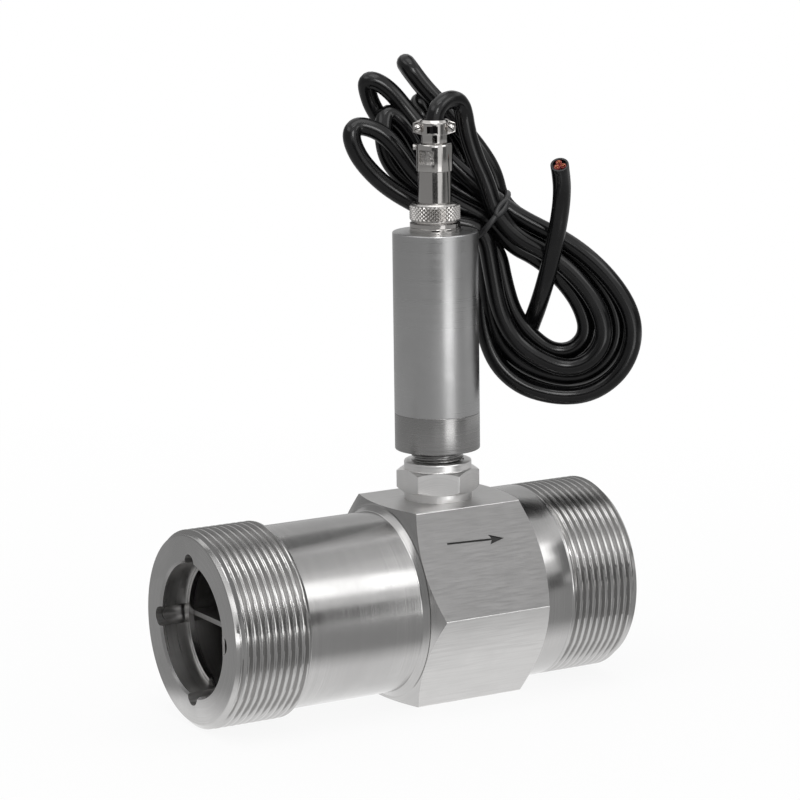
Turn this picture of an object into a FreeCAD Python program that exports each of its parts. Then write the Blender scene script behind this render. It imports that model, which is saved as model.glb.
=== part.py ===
"""Turbine flow meter for a 40 mm line, with a screwed-in pickup, a pre-amplifier and a round plug.

Millimetres. X runs along the flow, Z points up, and the origin lies on the flat that the
meter stands on, below the middle of the body.
"""
import FreeCAD, Part
import math
import os

import Sketcher
from FreeCAD import Placement, Rotation, Vector

COS_30 = math.cos(math.radians(30))
TAN_30 = math.tan(math.radians(30))

# Each row is a driving size: its name, its value, and what it measures.
SIZE_TABLE = [
    ("body_length", 140.0, "end face to end face of the body"),
    ("hex_flats", 60.0, "across the flats of the hexagon bar"),
    ("hex_length", 41.6, "length of the hexagon part"),
    ("sensor_x", 15.8, "pickup axis, and middle of the hexagon, from the middle of the body"),
    ("bore_dia", 40.0, "flow bore"),
    ("bore_edge", 0.7, "chamfer at the bore's mouths"),
    ("tube_step", 2.25, "step from the flats of the hexagon down to the plain tube"),
    ("tube_shoulder", 1.6, "cone where the plain tube meets the hexagon"),
    ("thread_dia", 59.614, "major diameter of the G 2 pipe threads"),
    ("inlet_thread_length", 25.5, "threaded ring at the inlet"),
    ("thread_edge", 1.5, "chamfer at the end of a thread"),
    ("keyway_dia", 6.0, "half-round keyways in the bore"),
    ("keyway_length", 40.0, "keyways, from the end face inwards"),
    ("ring_depth", 9.0, "end face to the retaining ring"),
    ("ring_thickness", 1.6, "retaining ring"),
    ("ring_slot_dia", 43.6, "groove of the retaining ring"),
    ("ring_inner_dia", 37.6, "inside of the retaining ring"),
    ("ring_gap_angle", 36.0, "opening of the retaining ring, degrees"),
    ("vane_thickness", 1.5, "flow straightener vanes"),
    ("vane_end_gap", 4.0, "inner end of the vanes to the end of their hub"),
    ("hub_dia", 16.0, "hubs of the straighteners and the rotor"),
    ("nose_length", 12.0, "rounded nose of a straightener hub"),
    ("nose_setback", 3.0, "nose behind the vanes' leading edge"),
    ("rotor_width", 14.0, "rotor along its axis"),
    ("rotor_gap", 0.6, "rotor hub to each straightener hub"),
    ("rotor_dia", 38.6, "over the blade tips"),
    ("blade_thickness", 1.3, "rotor blades, along the axis"),
    ("blade_lead", 122.0, "advance of a blade in one full turn"),
    ("shaft_dia", 3.0, "rotor shaft"),
    ("bearing_dia", 7.0, "outside of the bearing sleeves"),
    ("bearing_length", 8.0, "bearing sleeves"),
    ("running_clearance", 0.03, "shaft in its sleeves, on the radius"),
    ("thrust_thickness", 1.5, "thrust discs behind the sleeves"),
    ("thrust_gap", 0.15, "shaft end to each thrust disc"),
    ("seat_clearance", 0.05, "between parts that screw or slide into each other, on the radius"),
    ("pocket_floor", 1.8, "metal between the bore and the pickup pocket"),
    ("boss_dia", 20.8, "round boss ring under the lock nut"),
    ("boss_height", 2.4, "boss ring"),
    ("lock_nut_flats", 22.0, "lock nut across flats"),
    ("lock_nut_height", 7.0, "hexagon of the lock nut"),
    ("lock_collar_dia", 20.6, "round collar on top of the lock nut"),
    ("lock_collar_height", 2.4, "collar"),
    ("stem_dia", 16.0, "threaded stem of the pickup"),
    ("stem_wall", 1.5, "stem wall"),
    ("stem_exposed", 3.6, "stem showing between the collar and the housing"),
    ("stem_engaged", 8.0, "stem inside the housing base"),
    ("coil_dia", 11.6, "pickup winding"),
    ("coil_height", 14.0, "pickup winding"),
    ("bobbin_flange", 1.0, "thickness of the bobbin's flanges"),
    ("core_dia", 4.0, "pole piece and magnet"),
    ("bobbin_wall", 0.6, "bobbin tube round the core"),
    ("pole_length", 8.0, "soft iron pole piece"),
    ("magnet_length", 9.0, "bar magnet"),
    ("housing_dia", 26.0, "amplifier housing"),
    ("base_height", 11.2, "steel base ring of the housing"),
    ("spigot_height", 6.5, "spigot of the base ring inside the tube"),
    ("seal_section", 1.6, "thickness of the O-rings"),
    ("tube_length", 55.5, "aluminium tube of the housing"),
    ("tube_wall", 1.8, "wall of the aluminium tube"),
    ("tube_top", 3.0, "top of the aluminium tube"),
    ("tube_edge", 0.4, "chamfer on the tube's top edge"),
    ("board_thickness", 1.6, "amplifier board"),
    ("board_gap", 1.0, "amplifier board to the socket's pins"),
    ("socket_dia", 12.0, "threaded body of the socket"),
    ("socket_flange_dia", 15.6, "flange of the socket"),
    ("socket_flange_height", 1.4, "flange of the socket"),
    ("socket_wall", 1.2, "wall of the socket"),
    ("socket_below", 10.0, "socket below the top of the housing"),
    ("socket_collar", 6.9, "socket above the top of the housing"),
    ("ring_nut_height", 1.2, "slotted ring nut on the flange"),
    ("socket_nut_flats", 14.0, "hexagon nut under the top of the housing"),
    ("socket_nut_height", 2.5, "hexagon nut"),
    ("pin_circle_radius", 2.4, "contact pins, from the plug's axis"),
    ("pin_dia", 1.2, "contact pins"),
    ("pin_tail", 2.0, "contact pins below the socket"),
    ("contact_dia", 2.0, "contact sleeves in the plug"),
    ("contact_tail", 2.0, "contact sleeves above their insert"),
    ("insert_step", 0.6, "socket insert above the flange, and below the pins' tips"),
    ("insert_above", 2.0, "plug insert above the coupling ring"),
    ("plug_gap", 0.3, "coupling ring above the ring nut"),
    ("coupling_dia", 15.5, "knurled coupling ring"),
    ("coupling_height", 5.8, "knurled coupling ring"),
    ("coupling_lip", 1.2, "inward lip at the top of the coupling ring"),
    ("barrel_dia", 10.1, "lower barrel of the plug"),
    ("barrel_length", 9.6, "visible length of the lower barrel"),
    ("barrel_wall", 1.0, "wall of the plug's barrel"),
    ("sleeve_dia", 11.1, "upper sleeve of the plug"),
    ("sleeve_length", 8.4, "upper sleeve"),
    ("window_width", 5.0, "recess in the side of the sleeve"),
    ("window_height", 4.2, "recess"),
    ("window_depth", 0.35, "recess"),
    ("neck_dia", 8.1, "neck of the cable clamp"),
    ("neck_length", 2.6, "neck"),
    ("clamp_width", 12.8, "over the ears of the cable clamp"),
    ("clamp_height", 4.4, "cable clamp"),
    ("clamp_slot", 0.8, "between the two halves of the clamp"),
    ("ear_thickness", 1.1, "one ear of the clamp"),
    ("clamp_screw_dia", 1.6, "clamp screws"),
    ("screw_head_dia", 2.6, "heads of the clamp screws"),
    ("cable_dia", 5.6, "cable jacket"),
    ("plug_turn", -30.3, "direction of the clamp's ears about the plug's axis, degrees"),
    ("hank_depth", 17.0, "thickness of the tied hank"),
    ("hank_back", 24.0, "middle of the hank behind the plug's axis"),
    ("tie_radius", 9.6, "wire tie round the hank, to the middle of its wire"),
    ("tie_wire_dia", 1.7, "wire tie"),
    ("core_wire_dia", 1.5, "cores at the cut end of the cable"),
]

KEYWAYS = 4
BLADES = 6
CONTACTS = 3


class Size:
    """A length that knows its value and the formula that gives it from the sheet."""

    def __init__(self, value, formula):
        self.value = float(value)
        self.formula = formula

    @staticmethod
    def of(number):
        return number if isinstance(number, Size) else Size(number, repr(float(number)))

    def __add__(self, other):
        other = Size.of(other)
        return Size(self.value + other.value, f"({self.formula} + {other.formula})")

    def __sub__(self, other):
        other = Size.of(other)
        return Size(self.value - other.value, f"({self.formula} - {other.formula})")

    def __mul__(self, other):
        other = Size.of(other)
        return Size(self.value * other.value, f"({self.formula} * {other.formula})")

    def __truediv__(self, other):
        other = Size.of(other)
        return Size(self.value / other.value, f"({self.formula} / {other.formula})")

    def __neg__(self):
        return Size(-self.value, f"(0 - {self.formula})")

    __radd__ = __add__
    __rmul__ = __mul__

    def __rsub__(self, other):
        return Size.of(other) - self


doc = FreeCAD.newDocument("turbine_flow_meter")
sheet = doc.addObject("Spreadsheet::Sheet", "Sizes")
for row, (alias, number, meaning) in enumerate(SIZE_TABLE, start=1):
    sheet.set(f"A{row}", meaning)
    sheet.set(f"B{row}", str(number))
    sheet.setAlias(f"B{row}", alias)
doc.recompute()


class Sizes:
    """Reads a size from the sheet by its name."""

    def __getattr__(self, name):
        return Size(getattr(sheet, name), f"Sizes.{name}")


S = Sizes()
nodes = {}

# Places worked out from the driving sizes. Heights are above the flat that the meter stands on.
AXIS_Z = S.hex_flats / 2
INLET_X = -S.body_length / 2
OUTLET_X = S.body_length / 2
HEX_START = S.sensor_x - S.hex_length / 2
HEX_END = S.sensor_x + S.hex_length / 2
BORE_R = S.bore_dia / 2
BOSS_Z = S.hex_flats
LOCK_NUT_Z = BOSS_Z + S.boss_height
COLLAR_Z = LOCK_NUT_Z + S.lock_nut_height
STEM_BARE_Z = COLLAR_Z + S.lock_collar_height
HOUSING_Z = STEM_BARE_Z + S.stem_exposed
STEM_TOP = HOUSING_Z + S.stem_engaged
POCKET_Z = AXIS_Z + BORE_R + S.pocket_floor
STEM_FOOT = POCKET_Z + 0.2
TUBE_Z = HOUSING_Z + S.base_height
TUBE_BORE_R = S.housing_dia / 2 - S.tube_wall
TOP_Z = TUBE_Z + S.tube_length
FLANGE_TOP = TOP_Z + S.socket_flange_height
RING_NUT_TOP = FLANGE_TOP + S.ring_nut_height
COUPLING_Z = RING_NUT_TOP + S.plug_gap
COUPLING_TOP = COUPLING_Z + S.coupling_height
SOCKET_TOP = TOP_Z + S.socket_collar
SOCKET_FOOT = TOP_Z - S.socket_below
PIN_FOOT = SOCKET_FOOT - S.pin_tail
BARREL_TOP = COUPLING_TOP + S.barrel_length
SLEEVE_TOP = BARREL_TOP + S.sleeve_length
CLAMP_Z = SLEEVE_TOP + S.neck_length
CLAMP_TOP = CLAMP_Z + S.clamp_height
CABLE_HOLE_R = S.cable_dia / 2 + 0.2


def bind(item, path, size):
    """Sets a property from a size, and keeps it bound to the sheet where the size is a formula."""
    size = Size.of(size)
    item.setExpression(path, size.formula)


def new_body(name, x=0, z=0, turn=None):
    """Starts a node of its own, standing at x and z, turned about the vertical."""
    body = doc.addObject("PartDesign::Body", name)
    body.Label = name
    bind(body, "Placement.Base.x", x)
    bind(body, "Placement.Base.z", z)
    if turn is not None:
        body.Placement.Rotation = Rotation(Vector(0, 0, 1), 0)
        bind(body, "Placement.Rotation.Angle", turn)
    nodes[name] = body
    return body


def origin_of(body, role):
    """The body's own origin plane or axis of that role."""
    return next(item for item in body.Origin.OriginFeatures if item.Role == role)


def new_sketch(body, name, plane, offset=None):
    """An empty sketch on one of the body's own planes, moved off it by offset."""
    sketch = body.newObject("Sketcher::SketchObject", name)
    sketch.AttachmentSupport = [(origin_of(body, plane), "")]
    sketch.MapMode = "FlatFace"
    if offset is not None:
        bind(sketch, "AttachmentOffset.Base.z", offset)
    return sketch


def hold(sketch, geometry, vertex, place):
    """Dimensions one vertex from the sketch's origin."""
    for kind, axis_line, size in (("DistanceX", -2, place[0]), ("DistanceY", -1, place[1])):
        size = Size.of(size)
        if size.formula == "0.0":
            sketch.addConstraint(Sketcher.Constraint("PointOnObject", geometry, vertex, axis_line))
            continue
        index = sketch.addConstraint(Sketcher.Constraint(kind, -1, 1, geometry, vertex, size.value))
        bind(sketch, f"Constraints[{index}]", size)


def outline(body, name, plane, places, offset=None):
    """A sketch of a closed outline with straight sides through the given places."""
    sketch = new_sketch(body, name, plane, offset)
    corners = [Vector(Size.of(a).value, Size.of(b).value, 0) for a, b in places]
    count = len(corners)
    for i in range(count):
        sketch.addGeometry(Part.LineSegment(corners[i], corners[(i + 1) % count]))
    for i in range(count):
        sketch.addConstraint(Sketcher.Constraint("Coincident", i, 2, (i + 1) % count, 1))
    for i in range(count):
        hold(sketch, i, 1, places[i])
    return sketch


def circles(body, name, plane, places, radius, offset=None):
    """A sketch of equal circles about the given places."""
    sketch = new_sketch(body, name, plane, offset)
    for a, b in places:
        centre = Vector(Size.of(a).value, Size.of(b).value, 0)
        index = sketch.addGeometry(Part.Circle(centre, Vector(0, 0, 1), Size.of(radius).value))
        hold(sketch, index, 3, (a, b))
        rule = sketch.addConstraint(Sketcher.Constraint("Radius", index, Size.of(radius).value))
        bind(sketch, f"Constraints[{rule}]", radius)
    return sketch


def turned(body, sketch, axis, cut=False):
    """Revolves a sketch about its own H_Axis or V_Axis, as a solid or as a cut."""
    kind = "PartDesign::Groove" if cut else "PartDesign::Revolution"
    feature = body.newObject(kind, sketch.Name + ("_cut" if cut else "_turned"))
    feature.Profile = sketch
    feature.ReferenceAxis = (sketch, [axis])
    feature.Angle = 360
    return feature


def padded(body, sketch, length, midplane=False):
    """Extrudes a sketch along its normal, or to both sides of its plane."""
    feature = body.newObject("PartDesign::Pad", sketch.Name + "_pad")
    feature.Profile = sketch
    if midplane:
        feature.SideType = "Symmetric"
    bind(feature, "Length", length)
    return feature


def pocketed(body, sketch, length=None, along_normal=False):
    """Cuts a sketch into the body, right through where no length is given."""
    feature = body.newObject("PartDesign::Pocket", sketch.Name + "_pocket")
    feature.Profile = sketch
    feature.Reversed = along_normal
    if length is None:
        feature.Type = "ThroughAll"
    else:
        bind(feature, "Length", length)
    return feature


def ring_of(body, features, axis_role, count):
    """Repeats features round one of the body's axes."""
    pattern = body.newObject("PartDesign::PolarPattern", features[0].Name + "_ring")
    pattern.Originals = features
    pattern.Axis = (origin_of(body, axis_role), [""])
    pattern.Angle = 360
    pattern.Occurrences = count
    body.Tip = pattern
    return pattern


def hexagon(flats, flats_to_x=True):
    """Corners of a hexagon with two flats facing the sketch's X, or else its Y."""
    near = flats / 2
    half_side = flats * (TAN_30 / 2)
    corner = flats * (1 / COS_30 / 2)
    places = [(near, half_side), (0, corner), (-near, half_side)]
    places += [(-near, -half_side), (0, -corner), (near, -half_side)]
    if flats_to_x:
        return places
    return [(b, a) for a, b in places]


def turned_node(name, places, x=S.sensor_x, z=0, about="V_Axis"):
    """A node that is one turned profile, drawn from its axis outwards."""
    body = new_body(name, x=x, z=z)
    turned(body, outline(body, name + "_profile", "XZ_Plane", places), about)
    return body


def box_profile(inner, outer, low, high):
    """Section of a plain ring or disc about the vertical axis."""
    return [(inner, low), (outer, low), (outer, high), (inner, high)]


def meter_body():
    """Bar-turned body: threaded ends, plain inlet tube, hexagon, bore, keyways and pickup pocket."""
    body = new_body("meter_body", z=AXIS_Z)
    thread_r = S.thread_dia / 2
    tube_r = S.hex_flats / 2 - S.tube_step
    root_r = thread_r - S.thread_edge
    thread_end = INLET_X + S.inlet_thread_length
    places = [
        (INLET_X, 0), (INLET_X, root_r), (INLET_X + S.thread_edge, thread_r),
        (thread_end - S.thread_edge, thread_r), (thread_end, tube_r), (HEX_START - S.tube_shoulder, tube_r),
        (HEX_START, tube_r + S.tube_shoulder), (HEX_END, tube_r + S.tube_shoulder), (HEX_END, thread_r),
        (OUTLET_X - S.thread_edge, thread_r), (OUTLET_X, root_r), (OUTLET_X, 0),
    ]
    turned(body, outline(body, "body_profile", "XZ_Plane", places), "H_Axis")
    hex_sketch = outline(body, "body_hexagon", "YZ_Plane", hexagon(S.hex_flats, False), HEX_START)
    padded(body, hex_sketch, S.hex_length)

    flat_r = S.hex_flats / 2
    corner_r = S.hex_flats * (1 / COS_30 / 2) + 1
    slope = (corner_r - flat_r) * TAN_30
    for side, face_x, inward in (("inlet", HEX_START, slope), ("outlet", HEX_END, -slope)):
        corner_places = [(face_x, flat_r), (face_x + inward, corner_r), (face_x, corner_r)]
        corner_sketch = outline(body, f"hexagon_{side}_corners", "XZ_Plane", corner_places)
        turned(body, corner_sketch, "H_Axis", cut=True)

    edge_r = BORE_R + S.bore_edge
    bore = [
        (INLET_X, 0), (INLET_X, edge_r), (INLET_X + S.bore_edge, BORE_R),
        (OUTLET_X - S.bore_edge, BORE_R), (OUTLET_X, edge_r), (OUTLET_X, 0),
    ]
    turned(body, outline(body, "bore_profile", "XZ_Plane", bore), "H_Axis", cut=True)

    slot_width = S.ring_thickness + 2 * S.seat_clearance
    for side, start in (("inlet", INLET_X + S.ring_depth), ("outlet", OUTLET_X - S.ring_depth - slot_width)):
        slot = [(start, BORE_R - 1), (start + slot_width, BORE_R - 1)]
        slot += [(start + slot_width, S.ring_slot_dia / 2), (start, S.ring_slot_dia / 2)]
        turned(body, outline(body, f"{side}_ring_slot", "XZ_Plane", slot), "H_Axis", cut=True)

    for side, start in (("inlet", INLET_X), ("outlet", OUTLET_X - S.keyway_length)):
        keyway = circles(body, f"{side}_keyway", "YZ_Plane", [(0, BORE_R)], S.keyway_dia / 2, start)
        ring_of(body, [pocketed(body, keyway, S.keyway_length, along_normal=True)], "X_Axis", KEYWAYS)

    pocket_r = S.stem_dia / 2 + S.seat_clearance
    pocket = circles(body, "pickup_pocket", "XY_Plane", [(S.sensor_x, 0)], pocket_r, POCKET_Z - AXIS_Z)
    pocketed(body, pocket, along_normal=True)


def straightener(name, mirror):
    """Flow straightener: a hub with a rounded nose and four keyed vanes, mirrored for the outlet."""
    sign = -1 if mirror else 1
    body = new_body(name, z=AXIS_Z)
    front = INLET_X + S.ring_depth + S.ring_thickness + 4 * S.seat_clearance
    keyway_end = INLET_X + S.keyway_length
    rotor_side = S.sensor_x * sign - S.rotor_width / 2 - S.rotor_gap
    hub_r = S.hub_dia / 2
    nose = front + S.nose_setback
    counterbore_r = S.bearing_dia / 2 + S.seat_clearance / 5
    counterbore = rotor_side - S.bearing_length - S.thrust_thickness
    hub = [
        (nose, 0), (nose + S.nose_length * 0.08, hub_r * 0.42), (nose + S.nose_length * 0.35, hub_r * 0.78),
        (nose + S.nose_length * 0.7, hub_r * 0.96), (nose + S.nose_length, hub_r), (rotor_side, hub_r),
        (rotor_side, counterbore_r), (counterbore, counterbore_r), (counterbore, 0),
    ]
    hub = [(along * sign, out) for along, out in hub]
    turned(body, outline(body, name + "_hub", "XZ_Plane", hub), "H_Axis")

    tip_r = BORE_R - 2 * S.seat_clearance
    core_r = counterbore_r + 1
    vane_end = rotor_side - S.vane_end_gap
    bare_end = nose + S.nose_length * 0.5
    vane = [
        (front, 0), (front, tip_r), (vane_end - S.vane_end_gap, tip_r), (vane_end, hub_r),
        (vane_end, core_r), (bare_end, core_r), (bare_end, 0),
    ]
    vane = [(along * sign, out) for along, out in vane]
    vane_pad = padded(body, outline(body, name + "_vane", "XZ_Plane", vane), S.vane_thickness, midplane=True)

    key_r = S.keyway_dia / 2 - S.seat_clearance
    key_start = front if not mirror else -(keyway_end - S.seat_clearance)
    key_sketch = new_sketch(body, name + "_key", "YZ_Plane", key_start)
    centre = Vector(0, tip_r.value, 0)
    round_side = Part.ArcOfCircle(Part.Circle(centre, Vector(0, 0, 1), key_r.value), 0, math.pi)
    key_sketch.addGeometry(round_side)
    key_sketch.addGeometry(Part.LineSegment(centre - Vector(key_r.value, 0, 0), centre + Vector(key_r.value, 0, 0)))
    key_sketch.addConstraint(Sketcher.Constraint("Coincident", 0, 2, 1, 1))
    key_sketch.addConstraint(Sketcher.Constraint("Coincident", 0, 1, 1, 2))
    key_sketch.addConstraint(Sketcher.Constraint("PointOnObject", 0, 3, 1))
    key_sketch.addConstraint(Sketcher.Constraint("Horizontal", 1))
    hold(key_sketch, 0, 3, (0, tip_r))
    rule = key_sketch.addConstraint(Sketcher.Constraint("Radius", 0, key_r.value))
    bind(key_sketch, f"Constraints[{rule}]", key_r)
    key_pad = padded(body, key_sketch, keyway_end - front - S.seat_clearance)
    ring_of(body, [vane_pad, key_pad], "X_Axis", KEYWAYS)


def retaining_ring(name, start):
    """Open spring ring that holds a straightener in its keyways."""
    body = new_body(name, z=AXIS_Z)
    inner = S.ring_inner_dia / 2
    outer = S.ring_slot_dia / 2 - 2 * S.seat_clearance
    end = start + S.ring_thickness
    section = [(start, inner), (end, inner), (end, outer), (start, outer)]
    feature = turned(body, outline(body, name + "_section", "XZ_Plane", section), "H_Axis")
    bind(feature, "Angle", 360 - S.ring_gap_angle)
    body.Placement.Rotation = Rotation(Vector(1, 0, 0), 200)


def rotor():
    """Rotor: hub and helical blades swept at a constant lead, trimmed to the tip circle."""
    body = doc.addObject("PartDesign::Body", "rotor_blank")
    bind(body, "Placement.Base.x", S.sensor_x)
    bind(body, "Placement.Base.z", AXIS_Z)
    half = S.rotor_width / 2
    hub_r = S.hub_dia / 2
    shaft_r = S.shaft_dia / 2
    hub = [(-half, shaft_r), (-half, hub_r - 0.6), (-half + 0.6, hub_r), (half - 0.6, hub_r)]
    hub += [(half, hub_r - 0.6), (half, shaft_r)]
    turned(body, outline(body, "rotor_hub", "XZ_Plane", hub), "H_Axis")
    overrun = 2
    foot = -half - overrun
    blade = [(foot, hub_r - 1), (foot + S.blade_thickness, hub_r - 1)]
    blade += [(foot + S.blade_thickness, S.rotor_dia / 2 + 1), (foot, S.rotor_dia / 2 + 1)]
    blade_sketch = outline(body, "rotor_blade", "XZ_Plane", blade)
    sweep = body.newObject("PartDesign::AdditiveHelix", "rotor_blade_sweep")
    sweep.Profile = blade_sketch
    sweep.ReferenceAxis = (blade_sketch, ["H_Axis"])
    sweep.Mode = "pitch-height-angle"
    bind(sweep, "Pitch", S.blade_lead)
    bind(sweep, "Height", S.rotor_width + 2 * overrun)
    ring_of(body, [sweep], "X_Axis", BLADES)

    envelope = doc.addObject("Part::Cylinder", "rotor_envelope")
    envelope.Placement = Placement(Vector(0, 0, 0), Rotation(Vector(0, 1, 0), 90))
    bind(envelope, "Placement.Base.x", S.sensor_x - S.rotor_width / 2)
    bind(envelope, "Placement.Base.z", AXIS_Z)
    bind(envelope, "Radius", S.rotor_dia / 2)
    bind(envelope, "Height", S.rotor_width)
    trimmed = doc.addObject("Part::Common", "rotor")
    trimmed.Base = body
    trimmed.Tool = envelope
    nodes["rotor"] = trimmed


def rotor_shaft():
    """Hard-metal shaft with coned ends, pressed into the rotor hub."""
    reach = S.rotor_width / 2 + S.rotor_gap + S.bearing_length - S.thrust_gap
    radius = S.shaft_dia / 2
    cone = radius * 0.6
    places = [(-reach, 0), (-reach, radius - cone), (-reach + cone, radius)]
    places += [(reach - cone, radius), (reach, radius - cone), (reach, 0)]
    turned_node("rotor_shaft", places, z=AXIS_Z, about="H_Axis")


def bearings():
    """Bearing sleeves and thrust discs in the two straightener hubs."""
    outer = S.bearing_dia / 2
    inner = S.shaft_dia / 2 + S.running_clearance
    near = S.rotor_width / 2 + S.rotor_gap
    far = near + S.bearing_length
    back = far + S.thrust_thickness
    for side, sign in (("inlet", -1), ("outlet", 1)):
        sleeve = [(near * sign, inner), (near * sign, outer), (far * sign, outer), (far * sign, inner)]
        turned_node(f"{side}_bearing", sleeve, z=AXIS_Z, about="H_Axis")
        disc = [(far * sign, 0), (far * sign, outer), (back * sign, outer), (back * sign, 0)]
        turned_node(f"{side}_thrust_disc", disc, z=AXIS_Z, about="H_Axis")


def pickup():
    """Everything screwed into the hexagon: boss ring, lock nut, stem, winding, core and potting."""
    hole_r = S.stem_dia / 2 + S.seat_clearance
    turned_node("boss_ring", box_profile(hole_r, S.boss_dia / 2, BOSS_Z, LOCK_NUT_Z))

    nut = new_body("lock_nut", x=S.sensor_x)
    nut_sketch = outline(nut, "lock_nut_hexagon", "XY_Plane", hexagon(S.lock_nut_flats), LOCK_NUT_Z)
    padded(nut, nut_sketch, S.lock_nut_height)
    collar_r = S.lock_collar_dia / 2
    collar = [
        (0, COLLAR_Z - 1), (collar_r, COLLAR_Z - 1), (collar_r, STEM_BARE_Z - 0.6),
        (collar_r - 0.6, STEM_BARE_Z), (0, STEM_BARE_Z),
    ]
    turned(nut, outline(nut, "lock_nut_collar", "XZ_Plane", collar), "V_Axis")
    corner_r = S.lock_nut_flats * (1 / COS_30 / 2) + 0.5
    rise = (corner_r - S.lock_nut_flats / 2) * TAN_30
    for side, face_z, inward in (("upper", COLLAR_Z, -rise), ("lower", LOCK_NUT_Z, rise)):
        places = [(S.lock_nut_flats / 2, face_z), (corner_r, face_z), (corner_r, face_z + inward)]
        turned(nut, outline(nut, f"lock_nut_{side}_corners", "XZ_Plane", places), "V_Axis", cut=True)
    pocketed(nut, circles(nut, "lock_nut_hole", "XY_Plane", [(0, 0)], hole_r, LOCK_NUT_Z), along_normal=True)

    stem_r = S.stem_dia / 2
    inner_r = stem_r - S.stem_wall
    foot_wall = 0.8
    turned_node("pickup_stem", [
        (0, STEM_FOOT), (stem_r - 1, STEM_FOOT), (stem_r, STEM_FOOT + 1), (stem_r, STEM_TOP),
        (inner_r, STEM_TOP), (inner_r, STEM_FOOT + foot_wall), (0, STEM_FOOT + foot_wall),
    ])

    core_r = S.core_dia / 2
    tube_in = core_r + S.seat_clearance
    tube_out = tube_in + S.bobbin_wall
    low = STEM_FOOT + foot_wall + S.seat_clearance
    high = low + S.coil_height + 2 * S.bobbin_flange
    flange_r = inner_r - 2 * S.seat_clearance
    turned_node("coil_bobbin", [
        (tube_in, low), (flange_r, low), (flange_r, low + S.bobbin_flange), (tube_out, low + S.bobbin_flange),
        (tube_out, high - S.bobbin_flange), (flange_r, high - S.bobbin_flange), (flange_r, high), (tube_in, high),
    ])
    winding_low = low + S.bobbin_flange + S.seat_clearance
    winding_high = high - S.bobbin_flange - S.seat_clearance
    winding_in = tube_out + S.seat_clearance
    turned_node("pickup_coil", box_profile(winding_in, S.coil_dia / 2, winding_low, winding_high))
    pole_top = low + S.pole_length
    turned_node("pole_piece", box_profile(0, core_r, low, pole_top))
    turned_node("pickup_magnet", box_profile(0, core_r, pole_top, pole_top + S.magnet_length))
    potting_low = pole_top + S.magnet_length + S.seat_clearance
    turned_node("stem_potting", box_profile(0, inner_r - S.seat_clearance, potting_low, STEM_TOP - 1))


def housing():
    """Amplifier housing: steel base ring, seal, aluminium tube, board and its components."""
    outer = S.housing_dia / 2
    hole_r = S.stem_dia / 2 + S.seat_clearance
    spigot_r = TUBE_BORE_R - S.seat_clearance
    spigot_top = TUBE_Z + S.spigot_height
    cavity_r = spigot_r - S.tube_wall - S.seal_section
    seal_mid = TUBE_Z + S.spigot_height * 0.6
    seal_half = S.seal_section / 2
    seal_floor_r = spigot_r - S.seal_section * 0.8
    turned_node("housing_base", [
        (hole_r, HOUSING_Z), (outer - 0.3, HOUSING_Z), (outer, HOUSING_Z + 0.3), (outer, TUBE_Z),
        (spigot_r, TUBE_Z), (spigot_r, seal_mid - seal_half), (seal_floor_r, seal_mid - seal_half),
        (seal_floor_r, seal_mid + seal_half), (spigot_r, seal_mid + seal_half), (spigot_r, spigot_top),
        (cavity_r, spigot_top), (cavity_r, STEM_TOP + 0.2), (hole_r, STEM_TOP + 0.2),
    ])
    seal_low = seal_mid - seal_half + S.seat_clearance
    seal_high = seal_mid + seal_half - S.seat_clearance
    seal_profile = box_profile(seal_floor_r + S.seat_clearance, spigot_r, seal_low, seal_high)
    turned_node("housing_seal", seal_profile)

    inside_top = TOP_Z - S.tube_top
    socket_hole = S.socket_dia / 2 + S.seat_clearance
    turned_node("housing_tube", [
        (TUBE_BORE_R, TUBE_Z), (outer, TUBE_Z), (outer, TOP_Z - S.tube_edge), (outer - S.tube_edge, TOP_Z),
        (socket_hole, TOP_Z), (socket_hole, inside_top), (TUBE_BORE_R, inside_top),
    ])

    half_board = TUBE_BORE_R - 3 * S.seat_clearance
    half_thick = S.board_thickness / 2
    board_low = spigot_top + S.seat_clearance
    board_high = PIN_FOOT - S.board_gap
    board_length = board_high - board_low
    board = new_body("amplifier_board", x=S.sensor_x)
    board_places = box_profile(-half_board, half_board, board_low, board_high)
    board_sketch = outline(board, "board_outline", "XZ_Plane", board_places)
    padded(board, board_sketch, S.board_thickness, midplane=True)

    parts = []
    # Left and low edge, width, height and depth of each component, as shares of the board.
    chips = (
        ("amplifier_chip", -0.28, 0.22, 0.56, 0.24, 0.20),
        ("driver_chip", 0.20, 0.58, 0.45, 0.11, 0.14),
        ("trimmer", -0.68, 0.61, 0.51, 0.16, 0.38),
        ("filter_capacitor", 0.40, 0.14, 0.33, 0.19, 0.27),
    )
    for name, left, low, width, height, depth in chips:
        chip = doc.addObject("Part::Box", name)
        bind(chip, "Length", half_board * width)
        bind(chip, "Width", half_board * depth)
        bind(chip, "Height", board_length * height)
        bind(chip, "Placement.Base.x", S.sensor_x + half_board * left)
        bind(chip, "Placement.Base.y", half_thick)
        bind(chip, "Placement.Base.z", board_low + board_length * low)
        parts.append(chip)
    group = doc.addObject("Part::Compound", "board_components")
    group.Links = parts
    nodes["board_components"] = group


def contact_places():
    """Places of the contacts about the plug's axis."""
    places = []
    for i in range(CONTACTS):
        angle = math.radians(90 + 360 * i / CONTACTS)
        places.append((S.pin_circle_radius * math.cos(angle), S.pin_circle_radius * math.sin(angle)))
    return places


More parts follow.
